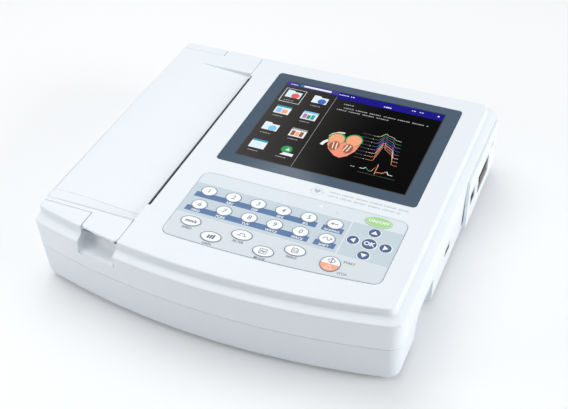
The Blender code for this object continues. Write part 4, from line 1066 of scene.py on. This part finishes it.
def make_patient_pins():
    """Fifteen contacts and two jackscrews of the patient lead socket."""
    _, high, centre = box_of("patient_socket")
    face = high.x
    pitch = 2.75 * MM
    bm = bmesh.new()
    for row, count in ((1, 8), (-1, 7)):
        for i in range(count):
            y = centre.y + (i - 0.5 * (count - 1)) * pitch
            z = centre.z + row * 1.4 * MM
            pin(bm, face - 1.0 * MM, face + 0.02 * MM, y, z, 0.55 * MM, 10, 0)
    for side in (-1.0, 1.0):
        y = centre.y + side * 16.6 * MM
        pin(bm, face - 2.2 * MM, face - 0.5 * MM, y, centre.z, 2.6 * MM, 6, 1)
        pin(bm, face - 0.5 * MM, face - 0.1 * MM, y, centre.z, 1.5 * MM, 16, 1)
    bmesh.ops.recalc_face_normals(bm, faces=bm.faces)
    piece("patient_contacts", bm, ("gold_contact", "steel"), body_of("patient_socket"))


def make_jack_contacts():
    """Contacts of the network jack, and the tongue and contacts of the USB socket."""
    _, high, centre = box_of("network_socket")
    bm = bmesh.new()
    for i in range(8):
        y = centre.y + (i - 3.5) * 1.02 * MM
        block(bm, high.x - 9.0 * MM, high.x - 2.0 * MM, y - 0.2 * MM, y + 0.2 * MM, centre.z - 4.9 * MM,
              centre.z - 4.4 * MM)
    _, high, centre = box_of("usb_socket")
    block(bm, high.x - 9.0 * MM, high.x - 1.2 * MM, centre.y - 5.2 * MM, centre.y + 5.2 * MM,
          centre.z - 0.4 * MM, centre.z + 0.9 * MM, 1)
    for i in range(4):
        y = centre.y + (i - 1.5) * 2.3 * MM
        block(bm, high.x - 8.5 * MM, high.x - 1.6 * MM, y - 0.5 * MM, y + 0.5 * MM, centre.z - 0.5 * MM,
              centre.z - 0.38 * MM)
    bmesh.ops.recalc_face_normals(bm, faces=bm.faces)
    piece("jack_contacts", bm, ("gold_contact", "black_plastic"), "case")


def make_rocker_marks():
    """I and O marks on the mains rocker."""
    centre = box_of("power_rocker")[2]
    bm = bmesh.new()
    out = 4.62 * MM + 0.05 * MM
    across = Vector((1.0, 0.0, 0.0))
    for side in (1.0, -1.0):
        rise = side * 3.4 * MM
        y = ROCKER_AXIS[0] + out * math.cos(ROCKER_REST) - rise * math.sin(ROCKER_REST)
        z = ROCKER_AXIS[1] + out * math.sin(ROCKER_REST) + rise * math.cos(ROCKER_REST)
        slope = math.atan2(1.2, 6.4) * side + ROCKER_REST
        up = Vector((0.0, -math.sin(slope), math.cos(slope)))
        origin = Vector((centre.x, y, z))
        shapes = [rectangle(-0.4 * MM, 0.4 * MM, -1.6 * MM, 1.6 * MM)]
        if side < 0.0:
            shapes = [ellipse(0.0, 0.0, radius, radius, 24) for radius in (1.3 * MM, 1.9 * MM)]
        rings = [[origin + across * u + up * v for u, v in shape] for shape in shapes]
        bridge(bm, rings, False, side > 0.0)
    piece("rocker_marks", bm, ("ink_white",), body_of("power_rocker"))


def add_screw_cross(bm, x, y, base):
    """Flat face of a screw head with a cross recess in it."""
    arm, half = 1.5 * MM, 0.35 * MM
    cross = [(half, arm), (-half, arm), (-half, half), (-arm, half), (-arm, -half), (-half, -half),
             (-half, -arm), (half, -arm), (half, -half), (arm, -half), (arm, half), (half, half)]
    low, high = base + 0.2 * MM, base + 1.0 * MM
    rim = ellipse(x, y, SCREW_FACE, SCREW_FACE, SCREW_SIDES)
    outer = [bm.verts.new((px, py, low)) for px, py in rim]
    inner = [bm.verts.new((x + u, y + v, low)) for u, v in cross]
    deep = [bm.verts.new((x + 0.8 * u, y + 0.8 * v, high)) for u, v in cross]
    edges = [bm.edges.new((loop[i], loop[(i + 1) % len(loop)])) for loop in (outer, inner)
             for i in range(len(loop))]
    bmesh.ops.triangle_fill(bm, edges=edges, use_beauty=True)
    for i in range(len(cross)):
        j = (i + 1) % len(cross)
        bm.faces.new((inner[i], inner[j], deep[j], deep[i]))
    bm.faces.new(deep)


def make_screws():
    """Pan-head screws in the pockets under the case."""
    bm = bmesh.new()
    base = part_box("bottom_shell")[0].z
    profile = ((base + 1.25 * MM, 3.1 * MM), (base + 0.75 * MM, 3.1 * MM), (base + 0.35 * MM, 2.6 * MM),
               (base + 0.2 * MM, SCREW_FACE))
    for x, y in SCREW_PLACES:
        rings = [[(px, py, z) for px, py in ellipse(x, y, r, r, SCREW_SIDES)] for z, r in profile]
        bridge(bm, rings, True, False)
        add_screw_cross(bm, x, y, base)
    bmesh.ops.remove_doubles(bm, verts=bm.verts, dist=PIECE_WELD)
    bmesh.ops.recalc_face_normals(bm, faces=bm.faces)
    piece("case_screws", bm, ("steel",), "case", 30.0)


# -------- stage

def make_camera():
    data = bpy.data.cameras.new("camera")
    data.lens = LENS
    data.sensor_width = 36.0
    camera = bpy.data.objects.new("camera", data)
    bpy.context.scene.collection.objects.link(camera)
    back = CAMERA_RIGHT.cross(CAMERA_UP)
    turn = Matrix((CAMERA_RIGHT, CAMERA_UP, back)).transposed()
    camera.matrix_world = Matrix.Translation(CAMERA_PLACE) @ turn.to_4x4()
    bpy.context.scene.camera = camera


def area_light(name, place, target, size, power):
    data = bpy.data.lights.new(name, "AREA")
    data.shape = "RECTANGLE"
    data.size, data.size_y = size
    data.energy = power
    light = bpy.data.objects.new(name, data)
    bpy.context.scene.collection.objects.link(light)
    light.location = place
    light.rotation_euler = (Vector(target) - Vector(place)).to_track_quat("-Z", "Y").to_euler()


def make_world():
    """Soft grey surroundings, lighter overhead."""
    world = bpy.data.worlds.new("world")
    world.use_nodes = True
    tree = world.node_tree
    parts = add_node(tree, "ShaderNodeSeparateXYZ")
    link(tree, add_node(tree, "ShaderNodeTexCoord").outputs["Generated"], parts.inputs["Vector"])
    height = map_range(tree, parts.outputs["Z"], 0.0, 1.0, 0.0, 1.0)
    link(tree, mix_colour(tree, height, HORIZON, ZENITH), tree.nodes["Background"].inputs["Color"])
    bpy.context.scene.world = world
    bpy.context.scene.view_settings.view_transform = "Standard"


def make_floor():
    """Plain pale floor, a flat grid."""
    bm = bmesh.new()
    spots = [FLOOR_SIZE * (i / FLOOR_STEPS - 0.5) for i in range(FLOOR_STEPS + 1)]
    verts = [[bm.verts.new((x, y, 0.0)) for y in spots] for x in spots]
    for i in range(FLOOR_STEPS):
        for j in range(FLOOR_STEPS):
            bm.faces.new((verts[i][j], verts[i + 1][j], verts[i + 1][j + 1], verts[i][j + 1]))
    mesh = bpy.data.meshes.new("floor")
    bm.to_mesh(mesh)
    bm.free()
    mesh.materials.append(surface("floor", FLOOR, 0.6, tone=0.004, patch=400 * MM, specular=0.2))
    floor = bpy.data.objects.new("floor", mesh)
    bpy.context.scene.collection.objects.link(floor)


make_camera()
for light in LIGHTS:
    area_light(*light)
make_world()
make_floor()
make_plastics()
make_metals()
make_keypad_finishes()
make_screen_finishes()
dress_nodes()
make_keys()
make_keypad_print()
make_deck_print()
make_screws()
make_picture()
make_tear_bar()
make_roll()
make_platen()
make_heater()
make_patient_pins()
make_jack_contacts()
make_rocker_marks()
